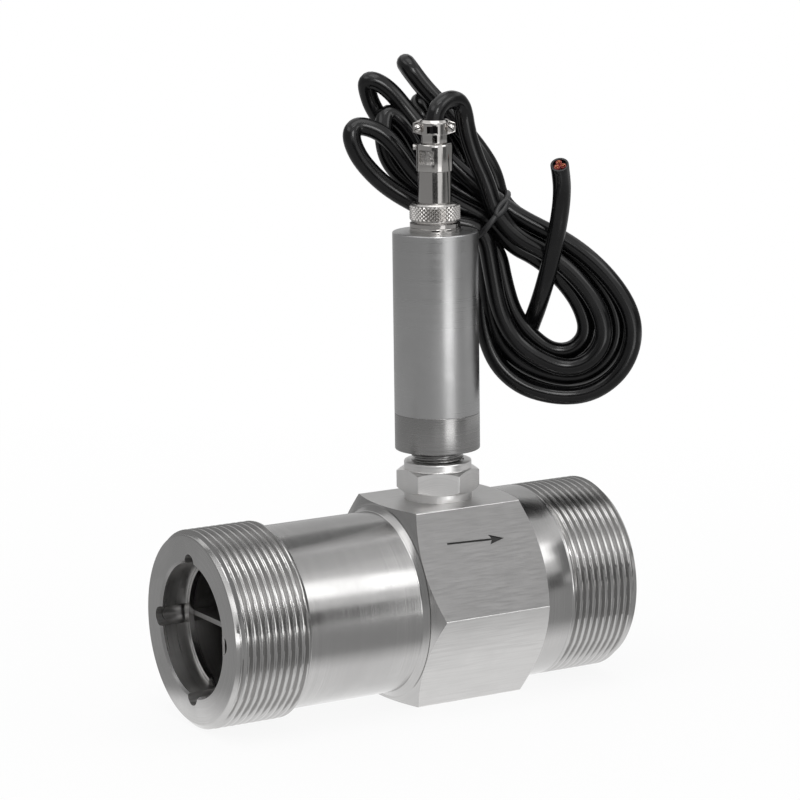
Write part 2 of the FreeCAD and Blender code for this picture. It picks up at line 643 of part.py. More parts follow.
def contact_group(name, radius, low, high, hole_radius=None):
    """Equal pins, or sleeves where a hole is given, that share one node."""
    parts = []
    for i, (a, b) in enumerate(contact_places()):
        pin = doc.addObject("Part::Cylinder", f"{name}_{i + 1}")
        bind(pin, "Radius", radius)
        bind(pin, "Height", high - low)
        bind(pin, "Placement.Base.x", S.sensor_x + a)
        bind(pin, "Placement.Base.y", b)
        bind(pin, "Placement.Base.z", low)
        if hole_radius is not None:
            hole = doc.addObject("Part::Cylinder", f"{name}_hole_{i + 1}")
            bind(hole, "Radius", hole_radius)
            bind(hole, "Height", high - low)
            bind(hole, "Placement.Base.x", S.sensor_x + a)
            bind(hole, "Placement.Base.y", b)
            bind(hole, "Placement.Base.z", low - 1)
            sleeve = doc.addObject("Part::Cut", f"{name}_sleeve_{i + 1}")
            sleeve.Base = pin
            sleeve.Tool = hole
            pin = sleeve
        parts.append(pin)
    group = doc.addObject("Part::Compound", name)
    group.Links = parts
    nodes[name] = group


def insulator(name, radius, hole_radius, low, high):
    """Disc that carries the contacts, drilled for each of them."""
    body = turned_node(name, box_profile(0, radius, low, high))
    pocketed(body, circles(body, name + "_holes", "XY_Plane", contact_places(), hole_radius, low), along_normal=True)


def socket():
    """Three-pin socket in the top of the housing, with its nut below and its ring nut above."""
    outer = S.socket_dia / 2
    inner = outer - S.socket_wall
    flange_r = S.socket_flange_dia / 2
    foot = SOCKET_FOOT
    turned_node("socket_shell", [
        (inner, foot), (outer, foot), (outer, TOP_Z), (flange_r - 0.2, TOP_Z), (flange_r, TOP_Z + 0.2),
        (flange_r, FLANGE_TOP - 0.2), (flange_r - 0.2, FLANGE_TOP), (outer, FLANGE_TOP), (outer, SOCKET_TOP),
        (inner, SOCKET_TOP),
    ])
    ring_r = flange_r - 0.15
    hole_r = outer + S.seat_clearance
    ring_low = FLANGE_TOP + S.seat_clearance
    ring = new_body("socket_ring_nut", x=S.sensor_x, turn=S.plug_turn)
    ring_section = box_profile(hole_r, ring_r, ring_low, RING_NUT_TOP)
    turned(ring, outline(ring, "ring_nut_section", "XZ_Plane", ring_section), "V_Axis")
    notch_floor = (ring_low + RING_NUT_TOP) / 2
    notch = [(-1.6, -ring_r - 1), (1.6, -ring_r - 1), (1.6, -hole_r - 0.8), (-1.6, -hole_r - 0.8)]
    pocketed(ring, outline(ring, "ring_nut_notch", "XY_Plane", notch, notch_floor), along_normal=True)

    nut = new_body("socket_nut", x=S.sensor_x)
    nut_top = TOP_Z - S.tube_top - S.seat_clearance
    nut_low = nut_top - S.socket_nut_height
    padded(nut, outline(nut, "socket_nut_hexagon", "XY_Plane", hexagon(S.socket_nut_flats), nut_low),
           S.socket_nut_height)
    pocketed(nut, circles(nut, "socket_nut_hole", "XY_Plane", [(0, 0)], hole_r, nut_low), along_normal=True)

    insert_top = FLANGE_TOP + S.insert_step
    pin_r = S.pin_dia / 2
    insulator("socket_insert", inner - S.seat_clearance, pin_r + S.seat_clearance, foot + 1, insert_top)
    contact_group("socket_pins", pin_r, PIN_FOOT, SOCKET_TOP - S.insert_step)


def plug():
    """Cable plug: coupling ring, barrel, insert, contacts and sleeve."""
    socket_r = S.socket_dia / 2
    lip_low = COUPLING_TOP - S.coupling_lip
    barrel_r = S.barrel_dia / 2
    ring_r = S.coupling_dia / 2
    ring_in = socket_r + S.seat_clearance
    lip_r = barrel_r + S.seat_clearance
    turned_node("coupling_ring", [
        (ring_in, COUPLING_Z), (ring_r - 0.4, COUPLING_Z), (ring_r, COUPLING_Z + 0.4),
        (ring_r, COUPLING_TOP - 0.5), (ring_r - 0.5, COUPLING_TOP), (lip_r, COUPLING_TOP),
        (lip_r, lip_low), (ring_in, lip_low),
    ])

    spigot_r = socket_r - S.socket_wall - S.seat_clearance
    spigot_low = FLANGE_TOP + 1.0
    shoulder_low = SOCKET_TOP + S.seat_clearance
    shoulder_high = lip_low - S.seat_clearance
    bore_r = spigot_r - S.barrel_wall
    tail_r = S.sleeve_dia / 2 - S.barrel_wall
    tail_top = BARREL_TOP + S.sleeve_length / 2
    turned_node("plug_barrel", [
        (bore_r, spigot_low), (spigot_r, spigot_low), (spigot_r, shoulder_low),
        (socket_r - S.seat_clearance, shoulder_low), (socket_r - S.seat_clearance, shoulder_high),
        (barrel_r, shoulder_high), (barrel_r, BARREL_TOP), (tail_r, BARREL_TOP), (tail_r, tail_top),
        (bore_r, tail_top),
    ])
    contact_r = S.contact_dia / 2
    insert_low = FLANGE_TOP + 0.8
    insert_high = COUPLING_TOP + S.insert_above
    insulator("plug_insert", bore_r - S.seat_clearance, contact_r + S.seat_clearance / 2, insert_low, insert_high)
    contact_high = insert_high + S.contact_tail
    contact_group("plug_contacts", contact_r, insert_low, contact_high, S.pin_dia / 2 + S.seat_clearance)

    sleeve_r = S.sleeve_dia / 2
    inner_r = tail_r + S.seat_clearance
    sleeve = new_body("plug_sleeve", x=S.sensor_x, turn=S.plug_turn)
    section = [
        (inner_r, BARREL_TOP + 0.1), (sleeve_r, BARREL_TOP + 0.1), (sleeve_r, SLEEVE_TOP - 0.5),
        (sleeve_r - 0.5, SLEEVE_TOP), (CABLE_HOLE_R, SLEEVE_TOP), (CABLE_HOLE_R, tail_top + 0.3),
        (inner_r, tail_top + 0.3),
    ]
    turned(sleeve, outline(sleeve, "sleeve_section", "XZ_Plane", section), "V_Axis")
    left = -S.window_width / 2 - 1.6
    right = left + S.window_width
    window_low = SLEEVE_TOP - 1.8 - S.window_height
    window_places = box_profile(left, right, window_low, window_low + S.window_height)
    window = outline(sleeve, "sleeve_window", "XZ_Plane", window_places, sleeve_r - S.window_depth - 0.35)
    pocketed(sleeve, window, 2, along_normal=True)

    screw_low = sleeve_r + S.seat_clearance / 2
    screw = doc.addObject("Part::Cylinder", "sleeve_screw")
    screw.Radius = 0.9
    screw.Height = 0.8
    angle = math.radians(180 + sheet.plug_turn)
    screw.Placement.Rotation = Rotation(Vector(0, 0, 1), Vector(math.cos(angle), math.sin(angle), 0))
    bind(screw, "Placement.Base.x", S.sensor_x + screw_low * math.cos(angle))
    bind(screw, "Placement.Base.y", screw_low * math.sin(angle))
    bind(screw, "Placement.Base.z", SLEEVE_TOP - 1.2)
    nodes["sleeve_screw"] = screw


def cable_clamp():
    """Saddle clamp on the plug's neck: a fixed half, a loose half and two screws."""
    neck_r = S.neck_dia / 2
    half_slot = S.clamp_slot / 2
    half_width = S.clamp_width / 2
    screw_u = half_width - S.screw_head_dia / 2
    screw_z = CLAMP_Z + S.clamp_height / 2
    screw_r = S.clamp_screw_dia / 2
    ear_out = half_slot + S.ear_thickness

    fixed = new_body("clamp_body", x=S.sensor_x, turn=S.plug_turn)
    neck = box_profile(CABLE_HOLE_R, neck_r, SLEEVE_TOP + S.seat_clearance, CLAMP_Z)
    turned(fixed, outline(fixed, "clamp_neck", "XZ_Plane", neck), "V_Axis")
    loose = new_body("clamp_saddle", x=S.sensor_x, turn=S.plug_turn)
    lift = CLAMP_Z + 0.4
    for body, name, sign, low in ((fixed, "rear", 1, CLAMP_Z), (loose, "front", -1, lift)):
        height = CLAMP_TOP - low
        saddle_r = neck_r - 0.3
        saddle = [(-saddle_r, half_slot * sign), (saddle_r, half_slot * sign)]
        saddle += [(saddle_r, saddle_r * sign * 0.5), (saddle_r * 0.55, saddle_r * sign)]
        saddle += [(-saddle_r * 0.55, saddle_r * sign), (-saddle_r, saddle_r * sign * 0.5)]
        padded(body, outline(body, f"{name}_saddle", "XY_Plane", saddle, low), height)
        ear = [(-half_width, half_slot * sign), (half_width, half_slot * sign)]
        ear += [(half_width, ear_out * sign), (-half_width, ear_out * sign)]
        padded(body, outline(body, f"{name}_ears", "XY_Plane", ear, low), height)
        cable_hole = circles(body, f"{name}_cable_hole", "XY_Plane", [(0, 0)], CABLE_HOLE_R, low)
        pocketed(body, cable_hole, along_normal=True)
        hole_places = [(-screw_u, screw_z), (screw_u, screw_z)]
        holes = circles(body, f"{name}_screw_holes", "XZ_Plane", hole_places, screw_r + S.seat_clearance)
        bore = pocketed(body, holes)
        bore.Midplane = True

    parts = []
    for i, side in enumerate((-1, 1)):
        shank = doc.addObject("Part::Cylinder", f"clamp_screw_shank_{i + 1}")
        head = doc.addObject("Part::Cylinder", f"clamp_screw_head_{i + 1}")
        turn = Rotation(Vector(0, 0, 1), sheet.plug_turn)
        lay = turn * Rotation(Vector(1, 0, 0), 90)
        head_depth = 0.9
        for piece, radius, back, length in (
            (shank, screw_r, ear_out + 0.2, ear_out * 2 + 0.2),
            (head, S.screw_head_dia / 2, -ear_out, head_depth),
        ):
            place = turn.multVec(Vector(side * screw_u.value, Size.of(back).value, 0))
            piece.Placement = Placement(place + Vector(sheet.sensor_x, 0, screw_z.value), lay)
            bind(piece, "Radius", radius)
            bind(piece, "Height", length)
            bind(piece, "Placement.Base.z", screw_z)
        screw = doc.addObject("Part::Fuse", f"clamp_screw_{i + 1}")
        screw.Base = shank
        screw.Tool = head
        parts.append(screw)
    group = doc.addObject("Part::Compound", "clamp_screws")
    group.Links = parts
    nodes["clamp_screws"] = group


# Cable route, in a frame that stands on the plug's axis and is turned with the clamp:
# first value to the right, second to the back, third up.
LEAD_ROUTE = [
    (0.0, 0.0, 170.5), (0.1, 0.0, 173.7), (0.0, 0.1, 177.0), (0.7, 0.6, 180.5), (3.0, 2.3, 183.3),
    (6.5, 4.6, 183.5), (9.5, 6.6, 181.3), (11.0, 7.8, 177.4), (11.3, 8.7, 172.9), (12.0, 9.9, 167.6),
    (13.8, 11.3, 161.8), (16.2, 13.3, 155.1), (17.6, 17.5, 149.8),
]
TAIL_ROUTE = [
    (27.6, 27.0, 101.5), (29.4, 23.0, 108.5), (31.4, 18.0, 115.0), (33.4, 13.5, 122.5), (35.4, 10.6, 131.0),
    (37.2, 9.0, 140.0), (38.4, 8.0, 147.5), (38.7, 6.6, 153.0), (38.4, 4.2, 157.3), (37.8, 1.2, 160.9),
]
HANK_OUTLINE = [
    (20.0, 150.0), (27.5, 146.2), (41.0, 138.6), (52.5, 129.6), (61.0, 118.5), (64.4, 106.0), (61.5, 96.0),
    (53.0, 88.2), (41.5, 84.4), (29.5, 87.0), (19.0, 93.0), (14.2, 103.0), (12.6, 118.0), (10.6, 135.0),
    (-6.0, 146.5), (-19.0, 158.0), (-27.6, 168.0), (-26.6, 179.0), (-20.5, 188.2), (-10.5, 193.6),
    (-4.0, 190.5), (5.0, 176.0), (12.0, 160.0),
]
HANK_OPENING = [
    (24.0, 129.5), (31.0, 127.5), (38.0, 120.8), (43.4, 112.0), (42.0, 105.0), (36.5, 103.8),
    (29.5, 110.0), (25.0, 118.5),
]
TIE_CENTRE = (17.0, 142.9)
TIE_SLOPE = -39.3


def plug_frame():
    """Frame of the cable route: on the plug's axis, turned with the clamp."""
    return Placement(Vector(sheet.sensor_x, 0, 0), Rotation(Vector(0, 0, 1), sheet.plug_turn))


def rounded_path(name, places):
    """Straight runs between the places, joined by tangent arcs as large as the runs allow."""
    points = [Vector(*place) for place in places]
    edges = []
    radii = []
    start = points[0]
    for before, corner, after in zip(points, points[1:], points[2:]):
        back = before - corner
        ahead = after - corner
        reach = 0.45 * min(back.Length, ahead.Length)
        back.normalize()
        ahead.normalize()
        half_turn = (math.pi - back.getAngle(ahead)) / 2
        radii.append(reach / math.tan(half_turn))
        entry = corner + back * reach
        leave = corner + ahead * reach
        inward = (back + ahead).normalize()
        middle = corner + inward * radii[-1] * (1 / math.cos(half_turn) - 1)
        edges.append(Part.LineSegment(start, entry).toShape())
        edges.append(Part.Arc(entry, middle, leave).toShape())
        start = leave
    edges.append(Part.LineSegment(start, points[-1]).toShape())
    print(name, "radii", [round(radius, 1) for radius in radii])
    return Part.Wire(edges)


def cable_tube(name, places):
    """Plain round tube of cable along a route."""
    path = rounded_path(name, places)
    radius = sheet.cable_dia / 2
    first = Vector(*places[0])
    direction = (Vector(*places[1]) - first).normalize()
    section = Part.Wire([Part.Circle(first, direction, radius).toShape()])
    shape = path.makePipeShell([section], True, False)
    print(name, "length", round(path.Length, 1), "volume ratio", shape.Volume / (math.pi * radius**2 * path.Length))
    feature = doc.addObject("Part::Feature", name)
    feature.Shape = shape
    feature.Placement = plug_frame()
    nodes[name] = feature


def loop_wire(places, depth):
    """Closed smooth outline through the places, standing at one depth behind the plug."""
    curve = Part.BSplineCurve()
    curve.interpolate(Points=[Vector(right, depth, up) for right, up in places], PeriodicFlag=True)
    return Part.Wire([curve.toShape()])


def cable():
    """Cable: the lead from the clamp, the tied hank, the tail with its bare end, and the wire tie."""
    cable_tube("cable_lead", LEAD_ROUTE)
    cable_tube("cable_tail", TAIL_ROUTE)

    front = sheet.hank_back - sheet.hank_depth / 2
    depth = Vector(0, sheet.hank_depth, 0)
    outside = Part.Face(loop_wire(HANK_OUTLINE, front)).extrude(depth)
    opening = Part.Face(loop_wire(HANK_OPENING, front)).extrude(depth)
    hank = doc.addObject("Part::Feature", "cable_hank")
    hank.Shape = outside.cut(opening)
    hank.Placement = plug_frame()
    nodes["cable_hank"] = hank

    tie = doc.addObject("Part::Torus", "cable_tie")
    bind(tie, "Radius1", S.tie_radius)
    bind(tie, "Radius2", S.tie_wire_dia / 2)
    slope = math.radians(TIE_SLOPE)
    normal = Vector(math.cos(slope), 0, math.sin(slope))
    centre = Vector(TIE_CENTRE[0], sheet.hank_back, TIE_CENTRE[1])
    tie.Placement = plug_frame() * Placement(centre, Rotation(Vector(0, 0, 1), normal))
    nodes["cable_tie"] = tie

    end = Vector(*TAIL_ROUTE[-1])
    direction = (end - Vector(*TAIL_ROUTE[-2])).normalize()
    stub = 0.7
    spread = sheet.cable_dia * 0.2
    at_end = Placement(end, Rotation(Vector(0, 0, 1), direction))
    cores = []
    for i in range(CONTACTS):
        angle = math.radians(360 * i / CONTACTS)
        foot = Vector(spread * math.cos(angle), spread * math.sin(angle), 0)
        core = Part.makeCylinder(sheet.core_wire_dia / 2, stub, foot)
        core.Placement = at_end * core.Placement
        cores.append(core)
    group = doc.addObject("Part::Feature", "cable_cores")
    group.Shape = Part.makeCompound(cores)
    group.Placement = plug_frame()
    nodes["cable_cores"] = group


def check_and_write():
    """Stops on any failed object or shape, then writes one file for each node."""
    doc.recompute()
    for item in doc.Objects:
        if {"Invalid", "Error"} & set(item.State):
            raise RuntimeError(f"{item.Name} failed: {item.State}")
    for name, node in nodes.items():
        node.Label = name
        if node.Shape.isNull() or not node.Shape.isValid() or not node.Shape.Solids:
            raise RuntimeError(f"{name} has no valid shape")
    os.makedirs("parts", exist_ok=True)
    for name, node in nodes.items():
        node.Shape.exportStep(f"parts/{name}.step")
        print(name, len(node.Shape.Solids), "solids", round(node.Shape.Volume, 1), "mm3")


meter_body()
straightener("inlet_straightener", mirror=False)
straightener("outlet_straightener", mirror=True)
retaining_ring("inlet_retaining_ring", INLET_X + S.ring_depth + S.seat_clearance)
retaining_ring("outlet_retaining_ring", OUTLET_X - S.ring_depth - S.ring_thickness - S.seat_clearance)
rotor()
rotor_shaft()
bearings()
pickup()
housing()
socket()
plug()
cable_clamp()
cable()
check_and_write()
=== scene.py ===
"""Turbine flow meter with its pickup, amplifier housing, cable plug and tied signal cable.

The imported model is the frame. Each sub-assembly is a class that builds its own meshes in the part's
frame and dresses them. X runs along the flow and Z points up. Sizes are written in millimetres, and
lofted, round_curve and the calls of the node trees turn them into metres.
"""
from __future__ import annotations

import logging
import math
from dataclasses import dataclass, field, replace
from enum import Enum
from typing import Callable, Sequence

import bmesh
import bpy
from mathutils import Matrix, Vector

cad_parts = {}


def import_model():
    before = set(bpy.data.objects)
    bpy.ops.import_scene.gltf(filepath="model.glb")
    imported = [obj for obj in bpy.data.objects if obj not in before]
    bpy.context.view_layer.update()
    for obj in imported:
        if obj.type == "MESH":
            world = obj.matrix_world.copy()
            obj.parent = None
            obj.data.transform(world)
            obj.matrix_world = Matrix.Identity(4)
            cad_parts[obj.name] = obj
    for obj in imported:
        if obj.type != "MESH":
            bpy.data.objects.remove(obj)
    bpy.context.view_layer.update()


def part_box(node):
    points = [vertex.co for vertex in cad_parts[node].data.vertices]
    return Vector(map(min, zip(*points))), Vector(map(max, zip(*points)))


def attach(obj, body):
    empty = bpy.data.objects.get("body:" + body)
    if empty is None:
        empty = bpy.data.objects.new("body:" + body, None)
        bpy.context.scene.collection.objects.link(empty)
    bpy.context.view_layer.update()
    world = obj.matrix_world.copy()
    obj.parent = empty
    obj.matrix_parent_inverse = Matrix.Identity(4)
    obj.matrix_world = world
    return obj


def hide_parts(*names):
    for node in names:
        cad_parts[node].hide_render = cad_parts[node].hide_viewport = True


LOG = logging.getLogger("flow_meter")
MM = 0.001
TAU = 2 * math.pi
TURN_30, TURN_60 = math.radians(30), math.radians(60)
SAME_PLACE = 1e-7
LONGEST_ROUNDING = 0.45
GOLDEN_ANGLE = math.pi * (3 - math.sqrt(5))
UP = Vector((0, 0, 1))
SOCKET_KINDS = {int: "Int", float: "Float", tuple: "Vector"}

Piece = bpy.types.Object
Material = bpy.types.Material
Tree = bpy.types.NodeTree
Socket = bpy.types.NodeSocket
Pair = tuple[float, float]
Spot = tuple[float, float, float]
Profile = list[Pair]


class Direction(Enum):
    """Axis that a piece was turned about."""

    ALONG_FLOW = (1.0, 0.0, 0.0)
    UPRIGHT = (0.0, 0.0, 1.0)


def even_angles(count: int) -> list[float]:
    """Angles that divide a full turn evenly."""
    return [TAU * i / count for i in range(count)]


def between(low: float, high: float, share: float) -> float:
    """The value at a share of the way from one to another."""
    return low + (high - low) * share


@dataclass(frozen=True)
class TurnAxis:
    """A line that pieces are turned about, with two directions across it."""

    centre: Vector
    along: Vector
    side: Vector
    rise: Vector

    def point(self, along: float, radius: float, angle: float) -> Vector:
        """The point at a distance along the axis, at a radius and an angle round it."""
        across = self.side * math.cos(angle) + self.rise * math.sin(angle)
        return self.centre + self.along * along + across * radius

    def circle(self, radius: float, count: int) -> list[Vector]:
        """Points spaced evenly round the axis, level with its centre."""
        return [self.point(0, radius, angle) for angle in even_angles(count)]


def box(name: str) -> tuple[float, float, float]:
    """Bottom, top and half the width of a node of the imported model."""
    low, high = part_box(name)
    return low.z / MM, high.z / MM, (high.x - low.x) / 2 / MM


# Meshes


def linked(name: str, data: bpy.types.ID) -> Piece:
    """Puts a mesh or curve in the scene as an object of that name."""
    piece = bpy.data.objects.new(name, data)
    bpy.context.scene.collection.objects.link(piece)
    return piece


def smoothed(piece: Piece, sharp_degrees: float = 28.0) -> Piece:
    """Shades a mesh smooth, with edges over an angle kept sharp."""
    piece.data.shade_smooth()
    piece.data.set_sharp_from_angle(angle=math.radians(sharp_degrees))
    return piece


def rounded(corners: Sequence[Spot]) -> Profile:
    """Rounds the corners of an open or closed outline.

    Args:
        corners: along, radius and rounding of each corner.

    Returns:
        The outline's points.
    """
    outline: Profile = []
    for i, (along, radius, rounding) in enumerate(corners):
        if rounding <= 0:
            outline.append((along, radius))
            continue
        corner = Vector((along, radius))
        back = Vector(corners[i - 1][:2]) - corner
        ahead = Vector(corners[(i + 1) % len(corners)][:2]) - corner
        reach = min(rounding, back.length * LONGEST_ROUNDING, ahead.length * LONGEST_ROUNDING)
        start, end = corner + back.normalized() * reach, corner + ahead.normalized() * reach
        for t in (0.0, 0.25, 0.5, 0.75, 1.0):
            outline.append(tuple(start * (1 - t) ** 2 + corner * (2 * t * (1 - t)) + end * t ** 2))
    return outline


def lofted(name: str, layers: Sequence[Sequence[Vector]], closed: bool = False) -> Piece:
    """Joins a row of sections into a closed mesh whose faces point outwards.

    Args:
        name: name of the object.
        layers: the sections, closed outlines with the same number of points, in millimetres.
        closed: whether the last section runs on into the first; if not, both ends get a cap.

    Returns:
        The new object.
    """
    size, count = len(layers[0]), len(layers)
    last = (count - 1) * size
    faces = [] if closed else [tuple(range(size)), tuple(range(last, last + size))]
    for j in range(count if closed else count - 1):
        here, there = j * size, (j + 1) % count * size
        for i in range(size):
            after = (i + 1) % size
            faces.append((here + i, here + after, there + after, there + i))
    mesh = bpy.data.meshes.new(name)
    mesh.from_pydata([tuple(place * MM) for layer in layers for place in layer], [], faces)
    shell = bmesh.new()
    shell.from_mesh(mesh)
    bmesh.ops.remove_doubles(shell, verts=shell.verts, dist=SAME_PLACE)
    bmesh.ops.dissolve_degenerate(shell, edges=shell.edges, dist=SAME_PLACE / 10)
    bmesh.ops.recalc_face_normals(shell, faces=shell.faces)
    shell.to_mesh(mesh)
    shell.free()
    return smoothed(linked(name, mesh))


def turned(name: str, axis: TurnAxis, profile_at: Callable[[float], Profile],
           angles: Sequence[float]) -> Piece:
    """Turns a closed profile, which may change with the angle, about an axis.

    Args:
        name: name of the object.
        axis: the axis to turn about.
        profile_at: gives the closed profile at an angle, always with the same number of points.
        angles: the angles of the sections.

    Returns:
        The new object.
    """
    return lofted(name, [[axis.point(*spot, angle) for spot in profile_at(angle)] for angle in angles], True)


def turned_ring(name: str, axis: TurnAxis, corners: Sequence[Spot], count: int = 96) -> Piece:
    """Turns one rounded closed profile about an axis."""
    profile = rounded(corners)
    return turned(name, axis, lambda angle: profile, even_angles(count))


def prism(name: str, outline: Sequence[Vector], sweep: Vector) -> Piece:
    """Sweeps a flat closed outline along a straight line."""
    return lofted(name, [outline, [place + sweep for place in outline]])


def hexagon_reach(flat: float, rounding: float, angle: float) -> float:
    """Distance from the middle of a hexagon with rounded corners to its side.

    Args:
        flat: distance from the middle to each flat.
        rounding: radius of its corners.
        angle: angle from a corner.

    Returns:
        The distance.
    """
    off_corner = (angle + TURN_30) % TURN_60 - TURN_30
    plain = flat / math.cos(TURN_30 - abs(off_corner))
    inset = (flat - rounding) / math.cos(TURN_30)
    reach = rounding ** 2 - (inset * math.sin(off_corner)) ** 2
    return plain if reach <= 0 else min(plain, inset * math.cos(off_corner) + math.sqrt(reach))


def hexagon_angles(near: Sequence[float], step: float, first: float = 0.0) -> list[float]:
    """Section angles of a hexagon: close ones from each corner, in degrees, then even steps."""
    sector = [*near, *(step * i for i in range(1, round(60 / step))), *(60 - turn for turn in near[:0:-1])]
    return [math.radians(first + 60 * side + turn) for side in range(6) for turn in sector]


def as_plain_mesh(piece: Piece) -> Piece:
    """Takes the modifiers' result as the piece's own mesh, and removes the modifiers."""
    graph = bpy.context.evaluated_depsgraph_get()
    graph.update()
    result = bpy.data.meshes.new_from_object(piece.evaluated_get(graph))
    result.name = name = piece.name
    if piece.type != "MESH":
        bpy.data.objects.remove(piece)
        return linked(name, result)
    piece.modifiers.clear()
    piece.data = result
    return piece


def carved(piece: Piece, cutters: Sequence[Piece]) -> Piece:
    """Cuts other closed meshes out of a piece, and removes them."""
    for cutter in cutters:
        cut = piece.modifiers.new("cut", "BOOLEAN")
        cut.operation, cut.solver, cut.object = "DIFFERENCE", "MANIFOLD", cutter
    as_plain_mesh(piece)
    for cutter in cutters:
        bpy.data.objects.remove(cutter)
    return smoothed(piece)


def softened(piece: Piece, width: float) -> Piece:
    """Rounds a piece's sharp edges with a bevel."""
    bevel = piece.modifiers.new("edges", "BEVEL")
    bevel.width, bevel.segments = width * MM, 2
    bevel.limit_method, bevel.angle_limit = "ANGLE", math.radians(35)
    return smoothed(as_plain_mesh(piece), 40)


def joined(name: str, pieces: Sequence[Piece]) -> Piece:
    """Makes one object of several meshes, each kept as its own closed shell."""
    whole, mesh = bmesh.new(), bpy.data.meshes.new(name)
    for piece in pieces:
        whole.from_mesh(piece.data)
        bpy.data.objects.remove(piece)
    whole.to_mesh(mesh)
    whole.free()
    return smoothed(linked(name, mesh))


# Node trees


class Wiring:
    """Adds nodes to a tree, and feeds their inputs from sockets or plain values."""

    def __init__(self, tree: Tree) -> None:
        """Works on one tree."""
        self.tree = tree

    def feed(self, target: Socket, value: object) -> None:
        """Links a socket to an input, or sets a plain value on it."""
        if isinstance(value, Socket):
            self.tree.links.new(value, target)
        else:
            target.default_value = value

    def node(self, kind: str, inputs: dict | None = None, **settings: object) -> bpy.types.Node:
        """Adds a node, with its settings, and feeds its inputs by name or number."""
        node = self.tree.nodes.new(kind)
        for name, value in settings.items():
            setattr(node, name, value)
        for name, value in (inputs or {}).items():
            self.feed(node.inputs[name], value)
        return node

    def found(self, kind: str) -> bpy.types.Node:
        """The node of a type that the tree came with."""
        return next(node for node in self.tree.nodes if node.type == kind)

    def math(self, operation: str, *values: object) -> Socket:
        """Adds a Math node and returns its result."""
        return self.node("ShaderNodeMath", dict(enumerate(values)), operation=operation).outputs[0]

    def vector(self, operation: str, *values: object) -> Socket:
        """Adds a Vector Math node and returns its vector, or its number where it gives one."""
        names = (0, "Scale" if operation == "SCALE" else 1)
        node = self.node("ShaderNodeVectorMath", dict(zip(names, values)), operation=operation)
        return node.outputs["Value" if operation in ("DOT_PRODUCT", "LENGTH") else "Vector"]

    def combined(self, *values: object) -> Socket:
        """Makes a vector of numbers."""
        return self.node("ShaderNodeCombineXYZ", dict(enumerate(values))).outputs[0]

    def noise(self, dimensions: str, **inputs: object) -> Socket:
        """Adds a noise texture and returns its level."""
        return self.node("ShaderNodeTexNoise", inputs, noise_dimensions=dimensions).outputs["Fac"]

    def spread(self, value: object, *ends: float, curve: str = "LINEAR") -> Socket:
        """Maps a range of values onto another, with its ends held."""
        inputs = {"Value": value, **dict(zip(("From Min", "From Max", "To Min", "To Max"), ends))}
        return self.node("ShaderNodeMapRange", inputs, clamp=True, interpolation_type=curve).outputs[0]

    def blended(self, factor: object, *colours: object) -> Socket:
        """Mixes two colours."""
        node = self.node("ShaderNodeMix", {"Factor": factor}, data_type="RGBA")
        for target, colour in zip((item for item in node.inputs if item.type == "RGBA"), colours):
            self.feed(target, colour)
        return next(item for item in node.outputs if item.type == "RGBA")


class Group(Wiring):
    """A node group with named inputs and one output."""

    def __init__(self, name: str, kind: str, inputs: dict[str, object], output: tuple[str, str]) -> None:
        """Starts the group.

        Args:
            name: name of the group.
            kind: type of its tree.
            inputs: starting value of each input, or the kind of one that has none.
            output: name and kind of what it puts out.
        """
        super().__init__(bpy.data.node_groups.new(name, kind))
        add = self.tree.interface.new_socket
        for label, value in inputs.items():
            plain = not isinstance(value, str)
            kind = SOCKET_KINDS[type(value)] if plain else value
            socket = add(name=label, in_out="INPUT", socket_type="NodeSocket" + kind)
            if plain:
                socket.default_value = value
        add(name=output[0], in_out="OUTPUT", socket_type="NodeSocket" + output[1])
        self.given = list(self.node("NodeGroupInput").outputs)[:len(inputs)]
        self.sink = self.node("NodeGroupOutput")

    def close(self, result: Socket) -> Tree:
        """Links the result to the group's output."""
        self.feed(self.sink.inputs[0], result)
        return self.tree


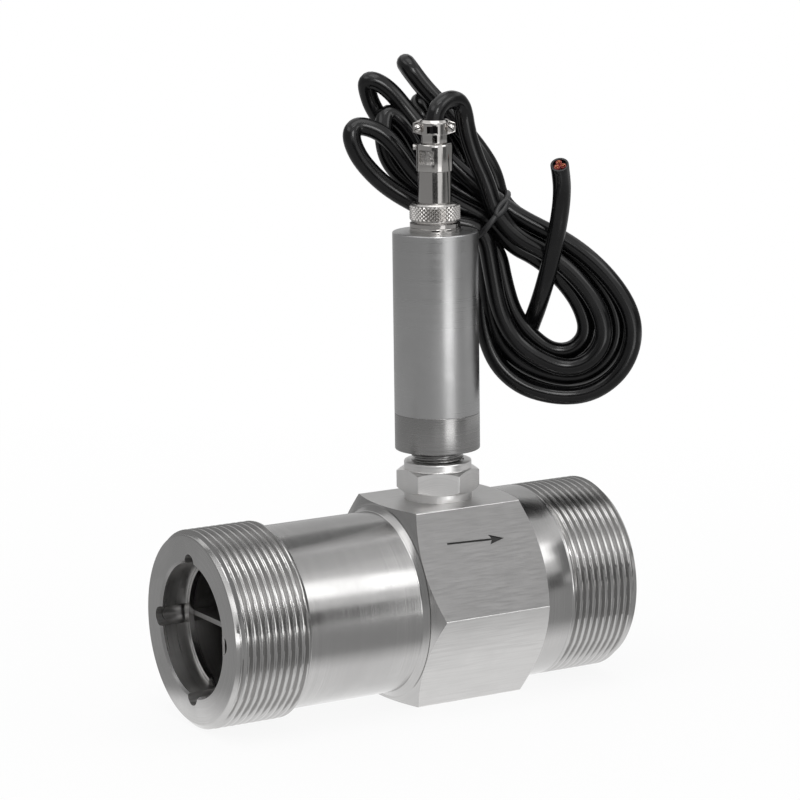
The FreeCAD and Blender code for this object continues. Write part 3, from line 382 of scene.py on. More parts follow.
class SurfaceEffects:
    """Shader groups that several finishes share. Each reads the piece's Object coordinates."""

    def __init__(self, centres: dict[Direction, Spot]) -> None:
        """Builds the groups once, and keeps a point of each axis that pieces were turned about."""
        self.centres = centres
        self.turning, self.streaks, self.smudges = self._turning(), self._streaks(), self._smudges()

    @staticmethod
    def _turning() -> Tree:
        """Tool marks round a turned piece: lines on its side, circles on its end faces."""
        group = Group("turning_marks", "ShaderNodeTree", {
            "Position": (0, 0, 0), "Centre": (0, 0, 0), "Axis": (1, 0, 0), "Density": 3000.0,
            "Coarse": 0.4}, ("Marks", "Float"))
        place, centre, axis, density, coarse = group.given
        offset = group.vector("SUBTRACT", place, centre)
        along = group.vector("DOT_PRODUCT", offset, axis)
        across = group.vector("SUBTRACT", offset, group.vector("SCALE", axis, along))
        travel = group.math("ADD", along, group.vector("LENGTH", across))
        fine = group.noise("1D", W=travel, Scale=density, Detail=2.0)
        broad = group.noise("1D", W=travel, Scale=group.math("MULTIPLY", density, 0.09), Detail=3.0)
        share = group.math("MULTIPLY", fine, group.math("SUBTRACT", 1.0, coarse))
        return group.close(group.math("MULTIPLY_ADD", broad, coarse, share))

    @staticmethod
    def _streaks() -> Tree:
        """Long fine lines along one direction, as on drawn bar or brushed metal."""
        group = Group("long_streaks", "ShaderNodeTree", {
            "Position": (0, 0, 0), "Stretch": (60, 2500, 2500), "Cut": 0.45}, ("Streaks", "Float"))
        place, stretch, cut = group.given
        lines = group.noise("3D", Vector=group.vector("MULTIPLY", place, stretch), Scale=1.0, Detail=3.0)
        above = group.math("MAXIMUM", group.math("SUBTRACT", lines, cut), 0.0)
        return group.close(group.math("MULTIPLY", above, 3.0))

    @staticmethod
    def _smudges() -> Tree:
        """Soft cloudy patches, for handling marks and uneven gloss."""
        group = Group("soft_smudges", "ShaderNodeTree", {
            "Position": (0, 0, 0), "Scale": 60.0, "Low": 0.4, "High": 0.7}, ("Smudges", "Float"))
        place, scale, low, high = group.given
        cloud = group.noise("3D", Vector=place, Scale=scale, Detail=5.0, Distortion=0.6)
        level = group.math("DIVIDE", group.math("SUBTRACT", cloud, low), group.math("SUBTRACT", high, low))
        return group.close(group.math("MINIMUM", group.math("MAXIMUM", level, 0.0), 1.0))


class Dressing(Wiring):
    """A material under construction: its coordinates, its shader and its shared effects."""

    def __init__(self, name: str, effects: SurfaceEffects | None = None) -> None:
        """Starts a material with a Principled shader."""
        self.effects, self.material = effects, bpy.data.materials.new(name)
        self.material.use_nodes = True
        super().__init__(self.material.node_tree)
        self.shader, self.target = self.found("BSDF_PRINCIPLED"), self.found("OUTPUT_MATERIAL")

    def effect(self, name: str, **values: object) -> Socket:
        """Places a shared effect with its own values and returns what it puts out."""
        inputs = {"Position": self.node("ShaderNodeTexCoord").outputs["Object"], **values}
        return self.node("ShaderNodeGroup", inputs, node_tree=getattr(self.effects, name)).outputs[0]

    def finished(self, height: Socket, depth: float, **values: object) -> Material:
        """Raises the surface by a height map, sets the shader's sockets and gives the material."""
        bump = self.node("ShaderNodeBump", {"Strength": 1.0, "Distance": depth * MM, "Height": height})
        for name, value in {**values, "Normal": bump.outputs[0]}.items():
            self.feed(self.shader.inputs[name.replace("_", " ")], value)
        return self.material


def grey(level: float, warmth: float = 0.0) -> tuple[float, float, float, float]:
    """A grey, a little warm or cool."""
    return (level * (1 + warmth), level, level * (1 - warmth), 1.0)


@dataclass(frozen=True)
class TurnedMetal:
    """Metal with the tool marks of a lathe."""

    level: float
    roughness: float
    direction: Direction = Direction.ALONG_FLOW
    warmth: float = 0.01
    density: float = 3400.0
    coarse: float = 0.4
    mark_depth: float = 0.012
    mark_contrast: float = 0.10
    mark_range: Pair = (0.3, 0.7)
    worn_share: float = 0.93

    def material(self, name: str, effects: SurfaceEffects) -> Material:
        """Builds the material of that name."""
        look = Dressing(name, effects)
        marks = look.effect("turning", Centre=effects.centres[self.direction], Axis=self.direction.value,
                            Density=self.density, Coarse=self.coarse)
        smudges = look.effect("smudges", Scale=55.0, Low=0.42, High=0.68)
        dark, light = (grey(self.level * (1 + side * self.mark_contrast), self.warmth) for side in (-1, 1))
        tone = look.blended(look.spread(marks, *self.mark_range, 0.0, 1.0), dark, light)
        rough = look.spread(marks, *self.mark_range, self.roughness * 0.85, self.roughness * 1.2)
        return look.finished(
            marks, self.mark_depth, Metallic=1.0, Roughness=look.math("MULTIPLY_ADD", smudges, 0.05, rough),
            Base_Color=look.blended(smudges, tone, grey(self.level * self.worn_share, self.warmth)))


@dataclass(frozen=True)
class DrawnMetal:
    """Bar stock or sheet with long marks along one direction."""

    level: float
    roughness: float
    stretch: Spot = (70.0, 1900.0, 1900.0)
    warmth: float = 0.01
    contrast: float = 0.08
    mark_depth: float = 0.02
    worn_share: float = 0.94

    def material(self, name: str, effects: SurfaceEffects) -> Material:
        """Builds the material of that name."""
        look = Dressing(name, effects)
        streaks = look.effect("streaks", Stretch=self.stretch, Cut=0.4)
        smudges = look.effect("smudges", Scale=85.0, Low=0.4, High=0.66)
        light, dark = (grey(self.level * (1 - part), self.warmth) for part in (0, 2 * self.contrast))
        worn = look.blended(smudges, look.blended(streaks, light, dark),
                            grey(self.level * self.worn_share, self.warmth))
        return look.finished(streaks, self.mark_depth, Base_Color=worn, Metallic=1.0,
                             Roughness=look.math("MULTIPLY_ADD", streaks, 0.12, self.roughness))


@dataclass(frozen=True)
class MouldedPlastic:
    """Plastic, rubber or lacquer with a faint moulded grain."""

    colour: Spot
    roughness: float
    grain_scale: float = 900.0
    grain_depth: float = 0.01
    gloss: float = 0.5

    def material(self, name: str, effects: SurfaceEffects) -> Material:
        """Builds the material of that name."""
        look = Dressing(name, effects)
        grain = look.effect("smudges", Scale=self.grain_scale, Low=0.3, High=0.7)
        dust = look.effect("smudges", Scale=120.0, Low=0.45, High=0.75)
        paler = (*(min(1.0, part * 1.25 + 0.004) for part in self.colour), 1.0)
        return look.finished(
            grain, self.grain_depth, Base_Color=look.blended(dust, (*self.colour, 1.0), paler), Metallic=0.0,
            Specular_IOR_Level=self.gloss, Roughness=look.math("MULTIPLY_ADD", dust, 0.08, self.roughness))


@dataclass(frozen=True)
class WoundCopper:
    """Enamelled copper wire wound in fine turns, or bare strands where the turns are coarse."""

    colour: Spot = (0.72, 0.30, 0.16)
    stretch: Spot = (300.0, 300.0, 5000.0)
    mark_depth: float = 0.03

    def material(self, name: str, effects: SurfaceEffects) -> Material:
        """Builds the material of that name."""
        look = Dressing(name, effects)
        turns = look.effect("streaks", Stretch=self.stretch, Cut=0.4)
        colour = look.blended(turns, (*self.colour, 1.0), (*(part * 0.5 for part in self.colour), 1.0))
        return look.finished(turns, self.mark_depth, Base_Color=colour, Metallic=1.0,
                             Roughness=look.spread(turns, 0.0, 0.5, 0.3, 0.5))


class Finish(Enum):
    """Finishes of the meter's surfaces. A material's name is its finish's, in small letters."""

    TURNED_STEEL = TurnedMetal(0.44, 0.18)
    THREAD_STEEL = TurnedMetal(0.46, 0.19, coarse=0.2)
    BORE_STEEL = TurnedMetal(0.62, 0.3, density=1500.0, mark_depth=0.02)
    INSERT_STEEL = TurnedMetal(0.42, 0.34)
    HARD_METAL = TurnedMetal(0.34, 0.18)
    BAR_STEEL = DrawnMetal(0.56, 0.36, contrast=0.04, mark_depth=0.01)
    # Upper front flat, which carries the arrow: rougher brushing than the bar steel, and a much darker
    # colour that is painted shade.
    MARKED_FLAT = DrawnMetal(0.245, 0.42, (150.0, 2300.0, 2300.0), contrast=0.015, mark_depth=0.002)
    # Narrow strips on the hexagon's rounded corners, much paler than the flats: a painted highlight where
    # the edges catch the light.
    WORN_EDGE = DrawnMetal(0.8, 0.36, (400.0, 1500.0, 1500.0), contrast=0.15)
    # Near-black faces of the engraved arrow: painted shade standing for the shadow inside the cut groove.
    ENGRAVED_STEEL = DrawnMetal(0.05, 0.5)
    NUT_STEEL = TurnedMetal(0.8, 0.3, Direction.UPRIGHT)
    BASE_STEEL = TurnedMetal(0.35, 0.25, Direction.UPRIGHT, density=2600.0)
    SATIN_ALUMINIUM = TurnedMetal(0.5, 0.3, Direction.UPRIGHT, 0.0, 5200.0, 0.3, 0.0025, 0.03)
    NICKEL = TurnedMetal(0.52, 0.1, Direction.UPRIGHT, 0.03, 6000.0, mark_depth=0.002, mark_contrast=0.03)
    KNURLED_NICKEL = TurnedMetal(0.44, 0.22, Direction.UPRIGHT, 0.03, mark_depth=0.004)
    GROUND_NICKEL = DrawnMetal(0.4, 0.4, (2000.0, 2000.0, 2000.0), 0.03, 0.45, 0.2)
    CONTACT_BRASS = TurnedMetal(0.55, 0.2, Direction.UPRIGHT, 0.35)
    CORE_IRON = TurnedMetal(0.3, 0.4, Direction.UPRIGHT)
    MOULDED_BLACK = MouldedPlastic((0.02, 0.02, 0.021), 0.4)
    SEAL_RUBBER = MouldedPlastic((0.015, 0.015, 0.016), 0.55)
    CABLE_JACKET = MouldedPlastic((0.0028, 0.0028, 0.0031), 0.16, 300.0, 0.006, 0.38)
    CORE_COVER = MouldedPlastic((0.25, 0.02, 0.015), 0.4)
    BOARD = MouldedPlastic((0.02, 0.11, 0.045), 0.4)
    COMPONENT = MouldedPlastic((0.03, 0.03, 0.032), 0.45)
    COPPER = WoundCopper()


class FinishRack:
    """Builds every finish once and hands out its material."""

    def __init__(self, axis_height: float, pickup_place: float) -> None:
        """Builds the materials, for a pipe axis and a pickup axis at these places."""
        effects = SurfaceEffects({Direction.ALONG_FLOW: (0.0, 0.0, axis_height * MM),
                                  Direction.UPRIGHT: (pickup_place * MM, 0.0, 0.0)})
        self.materials = {item: item.value.material(item.name.lower(), effects) for item in Finish}

    def dress(self, piece: Piece, *finishes: Finish) -> Piece:
        """Gives a piece its materials, in slot order."""
        piece.data.materials.clear()
        for finish in finishes:
            piece.data.materials.append(self.materials[finish])
        return piece


# Geometry Nodes


class GrowthTree(Group):
    """A Geometry Nodes tree with named inputs, ended by Realize Instances and Set Material."""

    def __init__(self, name: str, **inputs: object) -> None:
        """Starts the tree with a geometry input, the named sizes and a material input."""
        sizes = {label.replace("_", " "): value for label, value in inputs.items()}
        super().__init__(name, "GeometryNodeTree", {"Geometry": "Geometry", **sizes, "Material": "Material"},
                         ("Geometry", "Geometry"))

    def grown(self, geometry: Socket) -> GrowthTree:
        """Realizes the instances, sets the material and ends the tree."""
        real = self.node("GeometryNodeRealizeInstances", {"Geometry": geometry}).outputs[0]
        self.close(self.node("GeometryNodeSetMaterial", {
            "Geometry": real, "Material": self.given[-1]}).outputs[0])
        return self

    def scattered(self, count: Socket, place: Socket, item: Socket, **turns: Socket) -> Socket:
        """Puts copies of a mesh on new points, turned and scaled as the other inputs say."""
        points = self.node("GeometryNodePoints", {"Count": count, "Position": place}).outputs[0]
        inputs = {"Points": points, "Instance": item, **turns}
        return self.node("GeometryNodeInstanceOnPoints", inputs).outputs[0]

    def split(self, per_row: Socket) -> tuple[Socket, Socket]:
        """Row of each point, and its number in the row."""
        number = self.node("GeometryNodeInputIndex").outputs[0]
        row = self.math("FLOOR", self.math("DIVIDE", self.math("ADD", number, 0.5), per_row))
        return row, self.math("SUBTRACT", number, self.math("MULTIPLY", row, per_row))

    def apply(self, piece: Piece, material: Material, **sizes: object) -> Piece:
        """Runs the tree on a piece and keeps the result as its plain mesh.

        Args:
            piece: the mesh to work on; an empty one for a tree that makes all it needs.
            material: the material of the result.
            sizes: values of the tree's named inputs, with lengths in metres.

        Returns:
            The same object.
        """
        values = {"Material": material, **{name.replace("_", " "): size for name, size in sizes.items()}}
        growth = piece.modifiers.new(self.tree.name, "NODES")
        growth.node_group = self.tree
        for item in self.tree.interface.items_tree:
            if item.item_type == "SOCKET" and item.in_out == "INPUT" and item.name in values:
                growth[item.identifier] = values[item.name]
        return as_plain_mesh(piece)


def thread_tree() -> GrowthTree:
    """Cuts a helical thread into the vertices of a turned blank, with rounded crests and roots."""
    tree = GrowthTree("helical_thread", Centre=(0, 0, 0), Axis=(1, 0, 0), Side=(0, 1, 0), Rise=(0, 0, 1),
                      Start=0.0, End=1.0, Major=0.03, Depth=0.0015, Pitch=0.0023, Runout=0.001)
    blank, centre, axis, side, rise, start, end, major, depth, pitch, runout, _ = tree.given
    offset = tree.vector("SUBTRACT", tree.node("GeometryNodeInputPosition").outputs[0], centre)
    along = tree.vector("DOT_PRODUCT", offset, axis)
    foot = tree.vector("SCALE", axis, along)
    across = tree.vector("SUBTRACT", offset, foot)
    level, height = (tree.vector("DOT_PRODUCT", across, line) for line in (side, rise))
    turn = tree.math("DIVIDE", tree.math("ARCTAN2", height, level), TAU)
    phase = tree.math("FRACT", tree.math("SUBTRACT", tree.math("DIVIDE", along, pitch), turn))
    swing = tree.math("ABSOLUTE", tree.math("MULTIPLY_ADD", phase, 2.0, -1.0))
    flank = tree.spread(swing, 0.12, 0.84, curve="SMOOTHSTEP")
    near_end = tree.math("MINIMUM", tree.math("SUBTRACT", along, start), tree.math("SUBTRACT", end, along))
    fade = tree.math("DIVIDE", tree.math("MAXIMUM", near_end, 0.0), runout)
    cut = tree.math("MULTIPLY", tree.math("MULTIPLY", flank, depth), tree.math("MINIMUM", fade, 1.0))
    radius = tree.math("MINIMUM", tree.vector("LENGTH", across), tree.math("SUBTRACT", major, cut))
    outward = tree.vector("SCALE", tree.vector("NORMALIZE", across), radius)
    spot = tree.vector("ADD", tree.vector("ADD", centre, foot), outward)
    move = {"Geometry": blank, "Selection": tree.math("GREATER_THAN", near_end, 0.0), "Position": spot}
    return tree.grown(tree.node("GeometryNodeSetPosition", move).outputs[0])


def knurl_tree() -> GrowthTree:
    """Covers a cylinder with the small pyramids of a diamond knurl."""
    tree = GrowthTree("diamond_knurl", Centre=(0, 0, 0), Radius=0.0075, Columns=52, Rows=9, Low=0.0,
                      Row_Pitch=0.0005, Half_Width=0.0004, Half_Height=0.0005, Depth=0.0003)
    core, centre, radius, columns, rows, low, pitch, half_width, half_height, depth, _ = tree.given
    row, column = tree.split(columns)
    shift = tree.math("MULTIPLY", tree.math("MODULO", row, 2.0), 0.5)
    turn = tree.math("MULTIPLY", tree.math("ADD", column, shift), tree.math("DIVIDE", TAU, columns))
    ring = (tree.math("MULTIPLY", tree.math(wave, turn), radius) for wave in ("COSINE", "SINE"))
    spot = tree.combined(*ring, tree.math("MULTIPLY_ADD", row, pitch, low))
    diamond = tree.node("GeometryNodeMeshCone", {
        "Vertices": 4, "Radius Top": 0.12, "Radius Bottom": 1.0, "Depth": 1.0}).outputs["Mesh"]
    facing = tree.node("FunctionNodeEulerToRotation", {0: tree.combined(0.0, math.pi / 2, turn)}).outputs[0]
    copies = tree.scattered(
        tree.math("MULTIPLY", columns, rows), tree.vector("ADD", spot, centre), diamond,
        Rotation=facing, Scale=tree.combined(half_height, half_width, depth))
    both = tree.node("GeometryNodeJoinGeometry", {0: core})
    tree.feed(both.inputs[0], copies)
    return tree.grown(both.outputs[0])


def strand_tree() -> GrowthTree:
    """Fills the cut ends of the cable's cores with fine wire strands of uneven length."""
    tree = GrowthTree("cut_strands", Cores=3, Strands=16, Core_Circle=0.0011, Bundle_Radius=0.0006,
                      Strand_Radius=0.00011, Length=0.0012, Seed=4)
    _, cores, strands, circle, bundle, wire_radius, length, seed, _ = tree.given
    core, strand = tree.split(strands)
    core_turn = tree.math("DIVIDE", tree.math("MULTIPLY", core, TAU), cores)
    turn = tree.math("MULTIPLY", strand, GOLDEN_ANGLE)
    share = tree.math("SQRT", tree.math("DIVIDE", tree.math("ADD", strand, 0.5), strands))
    reach = tree.math("MULTIPLY", share, bundle)
    spot = tree.combined(*(
        tree.math("MULTIPLY_ADD", tree.math(wave, turn), reach,
                  tree.math("MULTIPLY", tree.math(wave, core_turn), circle)) for wave in ("COSINE", "SINE")))
    wire = tree.node("GeometryNodeMeshCylinder", {"Vertices": 8, "Radius": wire_radius, "Depth": length})
    uneven = tree.node("FunctionNodeRandomValue", {"Seed": seed}, data_type="FLOAT")
    ends = (item for item in uneven.inputs if item.type == "VALUE" and item.name in ("Min", "Max"))
    for target, value in zip(ends, (0.55, 1.35)):
        target.default_value = value
    height = next(item for item in uneven.outputs if item.type == "VALUE")
    return tree.grown(tree.scattered(tree.math("MULTIPLY", cores, strands), spot, wire.outputs["Mesh"],
                                     Scale=tree.combined(1.0, 1.0, height)))


# Sub-assemblies


@dataclass
class Assembly:
    """What every sub-assembly needs to build, dress and mount its pieces."""

    finishes: FinishRack
    axis: TurnAxis
    tool: GrowthTree | None = None
    built: list[str] = field(default_factory=list)

    def mount(self, piece: Piece, finish: Finish | None, body: str, slot: str, *nodes: str) -> Piece:
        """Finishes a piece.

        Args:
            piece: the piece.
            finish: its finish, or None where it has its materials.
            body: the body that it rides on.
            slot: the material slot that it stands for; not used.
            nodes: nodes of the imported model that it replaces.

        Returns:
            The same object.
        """
        if finish:
            self.finishes.dress(piece, finish)
        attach(piece, body)
        if nodes:
            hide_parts(*nodes)
        self.built.append(piece.name)
        return piece

    def nodes(self, **finishes: Finish) -> None:
        """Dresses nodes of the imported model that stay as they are."""
        for name, finish in finishes.items():
            self.finishes.dress(bpy.data.objects[name], finish)
            self.built.append(name)

    def threaded(self, piece: Piece, finish: Finish, **lengths: float) -> Piece:
        """Cuts a thread about the axis into a piece."""
        axis, sizes = self.axis, {name: length * MM for name, length in lengths.items()}
        return self.tool.apply(piece, self.finishes.materials[finish], Centre=axis.centre * MM,
                               Axis=axis.along, Side=axis.side, Rise=axis.rise, **sizes)


@dataclass
class SteelBody(Assembly):
    """The turned body: threaded ends, plain tube, hexagon, bore, keyways and the flow arrow."""

    thread_radius: float = 29.807
    thread_depth: float = 1.30
    thread_pitch: float = 2.309
    thread_edge: float = 1.5
    rows_per_pitch: int = 12
    inlet_thread: float = 25.5
    outlet_plain: float = 8.6
    runouts: Pair = (0.1, 2.2)
    tube_radius: float = 27.75
    shoulder: float = 1.6
    hex_start: float = -5.0
    hex_end: float = 36.6
    corner_rounding: float = 0.45
    bore_radius: float = 20.0
    bore_edge: float = 0.7
    groove_radius: float = 21.8
    groove_depth: float = 9.0
    groove_width: float = 1.7
    keyway_radius: float = 3.0
    keyway_length: float = 40.0
    arrow_tail: Pair = (5.2, 6.75)
    arrow_tip: Pair = (25.1, 6.05)
    arrow_line: float = 0.3
    arrow_head: Pair = (5.2, 1.55)
    arrow_depth: float = 0.35
    arrow_window: tuple[Pair, Pair] = ((4.0, 26.0), (44.0, 52.0))
    bore_finish_depth: float = 3.2
    edge_highlight_degrees: float = 0.42
    skin: float = 0.02

    def build(self) -> None:
        """Builds the body and its flow arrow."""
        low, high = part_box("meter_body")
        self.inlet, self.outlet, self.flat = low.x / MM, high.x / MM, high.z / 2 / MM
        self.thread_end, self.plain_end = self.inlet + self.inlet_thread, self.hex_end + self.outlet_plain
        blank = turned("steel_body", self.axis, self._profile,
                       hexagon_angles([0.0, 0.14, 0.28, 0.42, 0.8], 1.5))
        ends = ((self.inlet, self.thread_end), (self.plain_end, self.outlet + self.thread_edge))
        for (start, end), runout in zip(ends, self.runouts):
            self.threaded(blank, Finish.TURNED_STEEL, Start=start, End=end, Major=self.thread_radius,
                          Depth=self.thread_depth, Pitch=self.thread_pitch, Runout=runout)
        carved(blank, [*self._keyway_cutters(), self._arrow_cutter()])
        order = (Finish.TURNED_STEEL, Finish.BAR_STEEL, Finish.THREAD_STEEL, Finish.ENGRAVED_STEEL,
                 Finish.BORE_STEEL, Finish.MARKED_FLAT, Finish.WORN_EDGE)
        self.finishes.dress(blank, *order)
        for face in blank.data.polygons:
            face.material_index = order.index(self._finish_at(face.center / MM, abs(face.normal.x)))
        self.mount(blank, None, "meter", "turned_steel", "meter_body")

    def _thread_rows(self, start: float, end: float) -> Profile:
        """Close rows along a stretch that is to be threaded."""
        count = max(2, round((end - start) / self.thread_pitch * self.rows_per_pitch))
        return [(between(start, end, i / count), self.thread_radius) for i in range(count + 1)]

    def _profile(self, angle: float) -> Profile:
        """Closed section of the body at an angle: outside from inlet to outlet, back through the bore."""
        edge, crest, tube, bore = self.thread_edge, self.thread_radius, self.tube_radius, self.bore_radius
        across = hexagon_reach(self.flat, self.corner_rounding, angle)
        lean = (across - self.flat) * math.tan(TURN_30) + 0.03
        profile = [(self.inlet, bore + self.bore_edge)]
        profile += rounded([(self.inlet, bore, 0), (self.inlet, crest - edge, 0.25),
                            (self.inlet + edge, crest, 0)])[1:-1]
        profile += self._thread_rows(self.inlet + edge, self.thread_end - edge)
        profile += rounded([
            (self.thread_end - edge, crest, 0), (self.thread_end - 0.2, tube + 0.4, 0.2),
            (self.thread_end, tube, 0.2), (self.hex_start - self.shoulder, tube, 0.3),
            (self.hex_start, tube + self.shoulder, 0.1), (self.hex_start, self.flat, 0)])[1:-1]
        profile += [(self.hex_start, self.flat - 0.05), (self.hex_start + lean, across),
                    (self.hex_end - lean, across), (self.hex_end, self.flat - 0.05), (self.hex_end, crest)]
        profile += self._thread_rows(self.plain_end, self.outlet - edge)
        profile += rounded([(self.outlet - edge, crest, 0), (self.outlet, crest - edge, 0.25),
                            (self.outlet, bore, 0)])[1:-1]
        profile += [(self.outlet, bore + self.bore_edge), (self.outlet - self.bore_edge, bore)]
        outlet_groove = self.outlet - self.groove_depth
        inlet_groove = self.inlet + self.groove_depth
        for start, end in ((outlet_groove, outlet_groove - self.groove_width),
                           (inlet_groove + self.groove_width, inlet_groove)):
            profile += [(start, bore), (start, self.groove_radius), (end, self.groove_radius), (end, bore)]
        return profile + [(self.inlet + self.bore_edge, bore)]

    def _keyway_cutters(self) -> list[Piece]:
        """Round bars that cut the four keyways at each end."""
        sweep = self.axis.along * (self.keyway_length + 1)
        feet = [self.axis.point(start, self.bore_radius, angle) for angle in even_angles(4)
                for start in (self.inlet - 1, self.outlet - self.keyway_length)]
        return [prism("keyway", replace(self.axis, centre=foot).circle(self.keyway_radius, 28), sweep)
                for foot in feet]

    def _arrow_cutter(self) -> Piece:
        """The engraved arrow that gives the flow's direction, on the upper front flat."""
        tail, tip, (length, width) = Vector(self.arrow_tail), Vector(self.arrow_tip), self.arrow_head
        run = (tip - tail).normalized()
        side = Vector((-run.y, run.x))
        line, neck, barb = side * self.arrow_line, tip - run * (length - 0.8), tip - run * length
        outline = [tail + line, tail - line, neck - line, barb - side * width, tip, barb + side * width,
                   neck + line]
        normal = Vector((0, -math.sin(TURN_60), math.cos(TURN_60)))
        upward = Vector((0, math.cos(TURN_60), math.sin(TURN_60)))
        floor = self.axis.centre + normal * (self.flat - self.arrow_depth)
        places = [floor + self.axis.along * spot.x + upward * spot.y for spot in outline]
        return prism("flow_arrow", places, normal * 1.5)

    def _finish_at(self, spot: Vector, lean: float) -> Finish:
        """Finish of a face, by where it lies and how far it leans towards the pipe's ends."""
        height = spot.z - self.axis.centre.z
        radius = math.hypot(spot.y, height)
        over_flat = height / 2 - spot.y * math.sin(TURN_60) - self.flat
        (left, right), (low, top) = self.arrow_window
        # Faces of the arrow's groove get the near-black painted shade.
        if left < spot.x < right and low < spot.z < top and -1 < over_flat < -self.skin:
            return Finish.ENGRAVED_STEEL
        if radius < self.bore_radius + self.bore_finish_depth and lean < 0.6:
            return Finish.BORE_STEEL
        if self.hex_start < spot.x < self.hex_end and radius > self.flat - 0.5 and lean < 0.2:
            turn = math.degrees(math.atan2(height, spot.y)) % 60
            # Faces within a fraction of a degree of a corner get the painted edge highlight.
            if min(turn, 60 - turn) < self.edge_highlight_degrees:
                return Finish.WORN_EDGE
            # The upper front flat gets the darker copy of the bar steel as painted shade; the other flats
            # get the bar steel.
            return Finish.MARKED_FLAT if over_flat > -self.skin else Finish.BAR_STEEL
        outside = radius > self.thread_radius - 1.6 and lean < 0.98
        on_thread = outside and not self.thread_end <= spot.x <= self.plain_end
        return Finish.THREAD_STEEL if on_thread else Finish.TURNED_STEEL


class FlowParts(Assembly):
    """Straighteners, retaining rings, rotor, shaft and bearings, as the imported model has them."""

    def build(self) -> None:
        """Dresses the nodes inside the bore."""
        for side in ("inlet", "outlet"):
            self.nodes(**{f"{side}_straightener": Finish.INSERT_STEEL,
                          f"{side}_retaining_ring": Finish.TURNED_STEEL,
                          f"{side}_bearing": Finish.HARD_METAL, f"{side}_thrust_disc": Finish.HARD_METAL})
        self.nodes(rotor=Finish.INSERT_STEEL, rotor_shaft=Finish.HARD_METAL)


@dataclass
class PickupMount(Assembly):
    """Boss ring, lock nut with its collar, and the threaded stem, with what is inside the stem."""

    hole_radius: float = 8.05
    nut_flat: float = 11.0
    collar_height: float = 2.4
    collar_radius: float = 10.3
    corner_rounding: float = 0.25
    stem_wall: float = 1.5
    stem_floor: float = 0.8
    stem_eye: float = 0.2
    stem_pitch: float = 1.5
    stem_depth: float = 0.8
    stem_rows: int = 60

    def build(self) -> None:
        """Builds the mount from the bottom up."""
        (low, high, radius), hole = box("boss_ring"), self.hole_radius
        boss = turned_ring("boss", self.axis, [
            (low, hole, 0), (low, radius, 0.1), (high, radius, 0.25), (high, hole, 0)])
        self.mount(boss, Finish.NUT_STEEL, "meter", "turned_steel", "boss_ring")
        angles = [TURN_30 + angle for angle in hexagon_angles([0.0, 0.4, 0.8, 1.3], 3.0)]
        nut = turned("locking_nut", self.axis, self._nut_profile, angles)
        self.mount(nut, Finish.NUT_STEEL, "meter", "turned_steel", "lock_nut")
        self._stem()
        self.nodes(coil_bobbin=Finish.MOULDED_BLACK, pickup_coil=Finish.COPPER, pole_piece=Finish.CORE_IRON,
                   pickup_magnet=Finish.NICKEL, stem_potting=Finish.MOULDED_BLACK)

    def _nut_profile(self, angle: float) -> Profile:
        """Section at an angle of a hexagon nut with chamfered corners and a round collar."""
        (low, high, _), flat, collar = box("lock_nut"), self.nut_flat, self.collar_radius
        seat = high - self.collar_height
        across = hexagon_reach(flat, self.corner_rounding, angle - TURN_30)
        lean = (across - flat) * math.tan(TURN_30) + 0.03
        return [(low, self.hole_radius), (low, flat - 0.04), (low + lean, across), (seat - lean, across),
                (seat, flat - 0.04), *rounded([(seat, flat, 0), (seat, collar, 0.15), (high, collar, 0.5),
                                               (high, self.hole_radius, 0)])[1:]]

    def _stem(self) -> None:
        """Hollow stem with a fine thread where it shows."""
        low, high, radius = box("pickup_stem")
        inner, floor, eye = radius - self.stem_wall, low + self.stem_floor, self.stem_eye
        start, end = box("lock_nut")[1] - 2, box("housing_base")[0] + 2
        outside = [(between(start, end, i / self.stem_rows), radius) for i in range(self.stem_rows + 1)]
        section = [(low, eye), (low, radius - 1), (low + 1, radius), *outside, (high, radius), (high, inner),
                   (floor, inner), (floor, eye)]
        stem = turned("stem", self.axis, lambda angle: section, even_angles(96))
        smoothed(self.threaded(stem, Finish.BASE_STEEL, Start=start, End=end, Major=radius,
                               Depth=self.stem_depth, Pitch=self.stem_pitch, Runout=0.5))
        self.mount(stem, None, "meter", "turned_steel", "pickup_stem")


@dataclass
class AmplifierHousing(Assembly):
    """Steel base ring, aluminium tube, and the board and seal inside."""

    wall: float = 1.8
    top: float = 3.0
    hole_radius: float = 6.05
    stem_hole: float = 8.05
    base_floor: float = 8.2
    spigot_wall: float = 3.0
    sections: int = 128

    def build(self) -> None:
        """Builds the housing's outside and dresses its inside."""
        (foot, rim, _), (low, high, radius) = box("housing_base"), box("housing_tube")
        bore, hole, stem = radius - self.wall, self.hole_radius, self.stem_hole
        spigot, floor = bore - 0.05, foot + self.base_floor
        inside = spigot - self.spigot_wall
        base = turned_ring("base_ring", self.axis, [
            (foot, stem, 0.1), (foot, radius, 0.35), (low, radius, 0.12), (low, spigot, 0),
            (rim, spigot, 0.3), (rim, inside, 0), (floor, inside, 0), (floor, stem, 0)], self.sections)
        self.mount(base, Finish.BASE_STEEL, "meter", "base_steel", "housing_base")
        tube = turned_ring("housing", self.axis, [
            (low, bore, 0), (low, radius, 0.12), (high, radius, 0.45), (high, hole, 0.1),
            (high - self.top, hole, 0), (high - self.top, bore, 0)], self.sections)
        self.mount(tube, Finish.SATIN_ALUMINIUM, "meter", "satin_aluminium", "housing_tube")
        self.nodes(housing_seal=Finish.SEAL_RUBBER, amplifier_board=Finish.BOARD,
                   board_components=Finish.COMPONENT)


@dataclass
class CameraSide(Assembly):
    """A sub-assembly laid out to the right and back as the camera sees them."""

    turn_degrees: float = -30.3

    def __post_init__(self) -> None:
        """Works out the two directions."""
        angle = math.radians(self.turn_degrees)
        self.right = Vector((math.cos(angle), math.sin(angle), 0))
        self.back = Vector((-math.sin(angle), math.cos(angle), 0))

    def spot(self, right: float, back: float, up: float) -> Vector:
        """The place at these distances to the right, to the back and above the ground."""
        return self.axis.centre + self.right * right + self.back * back + UP * up


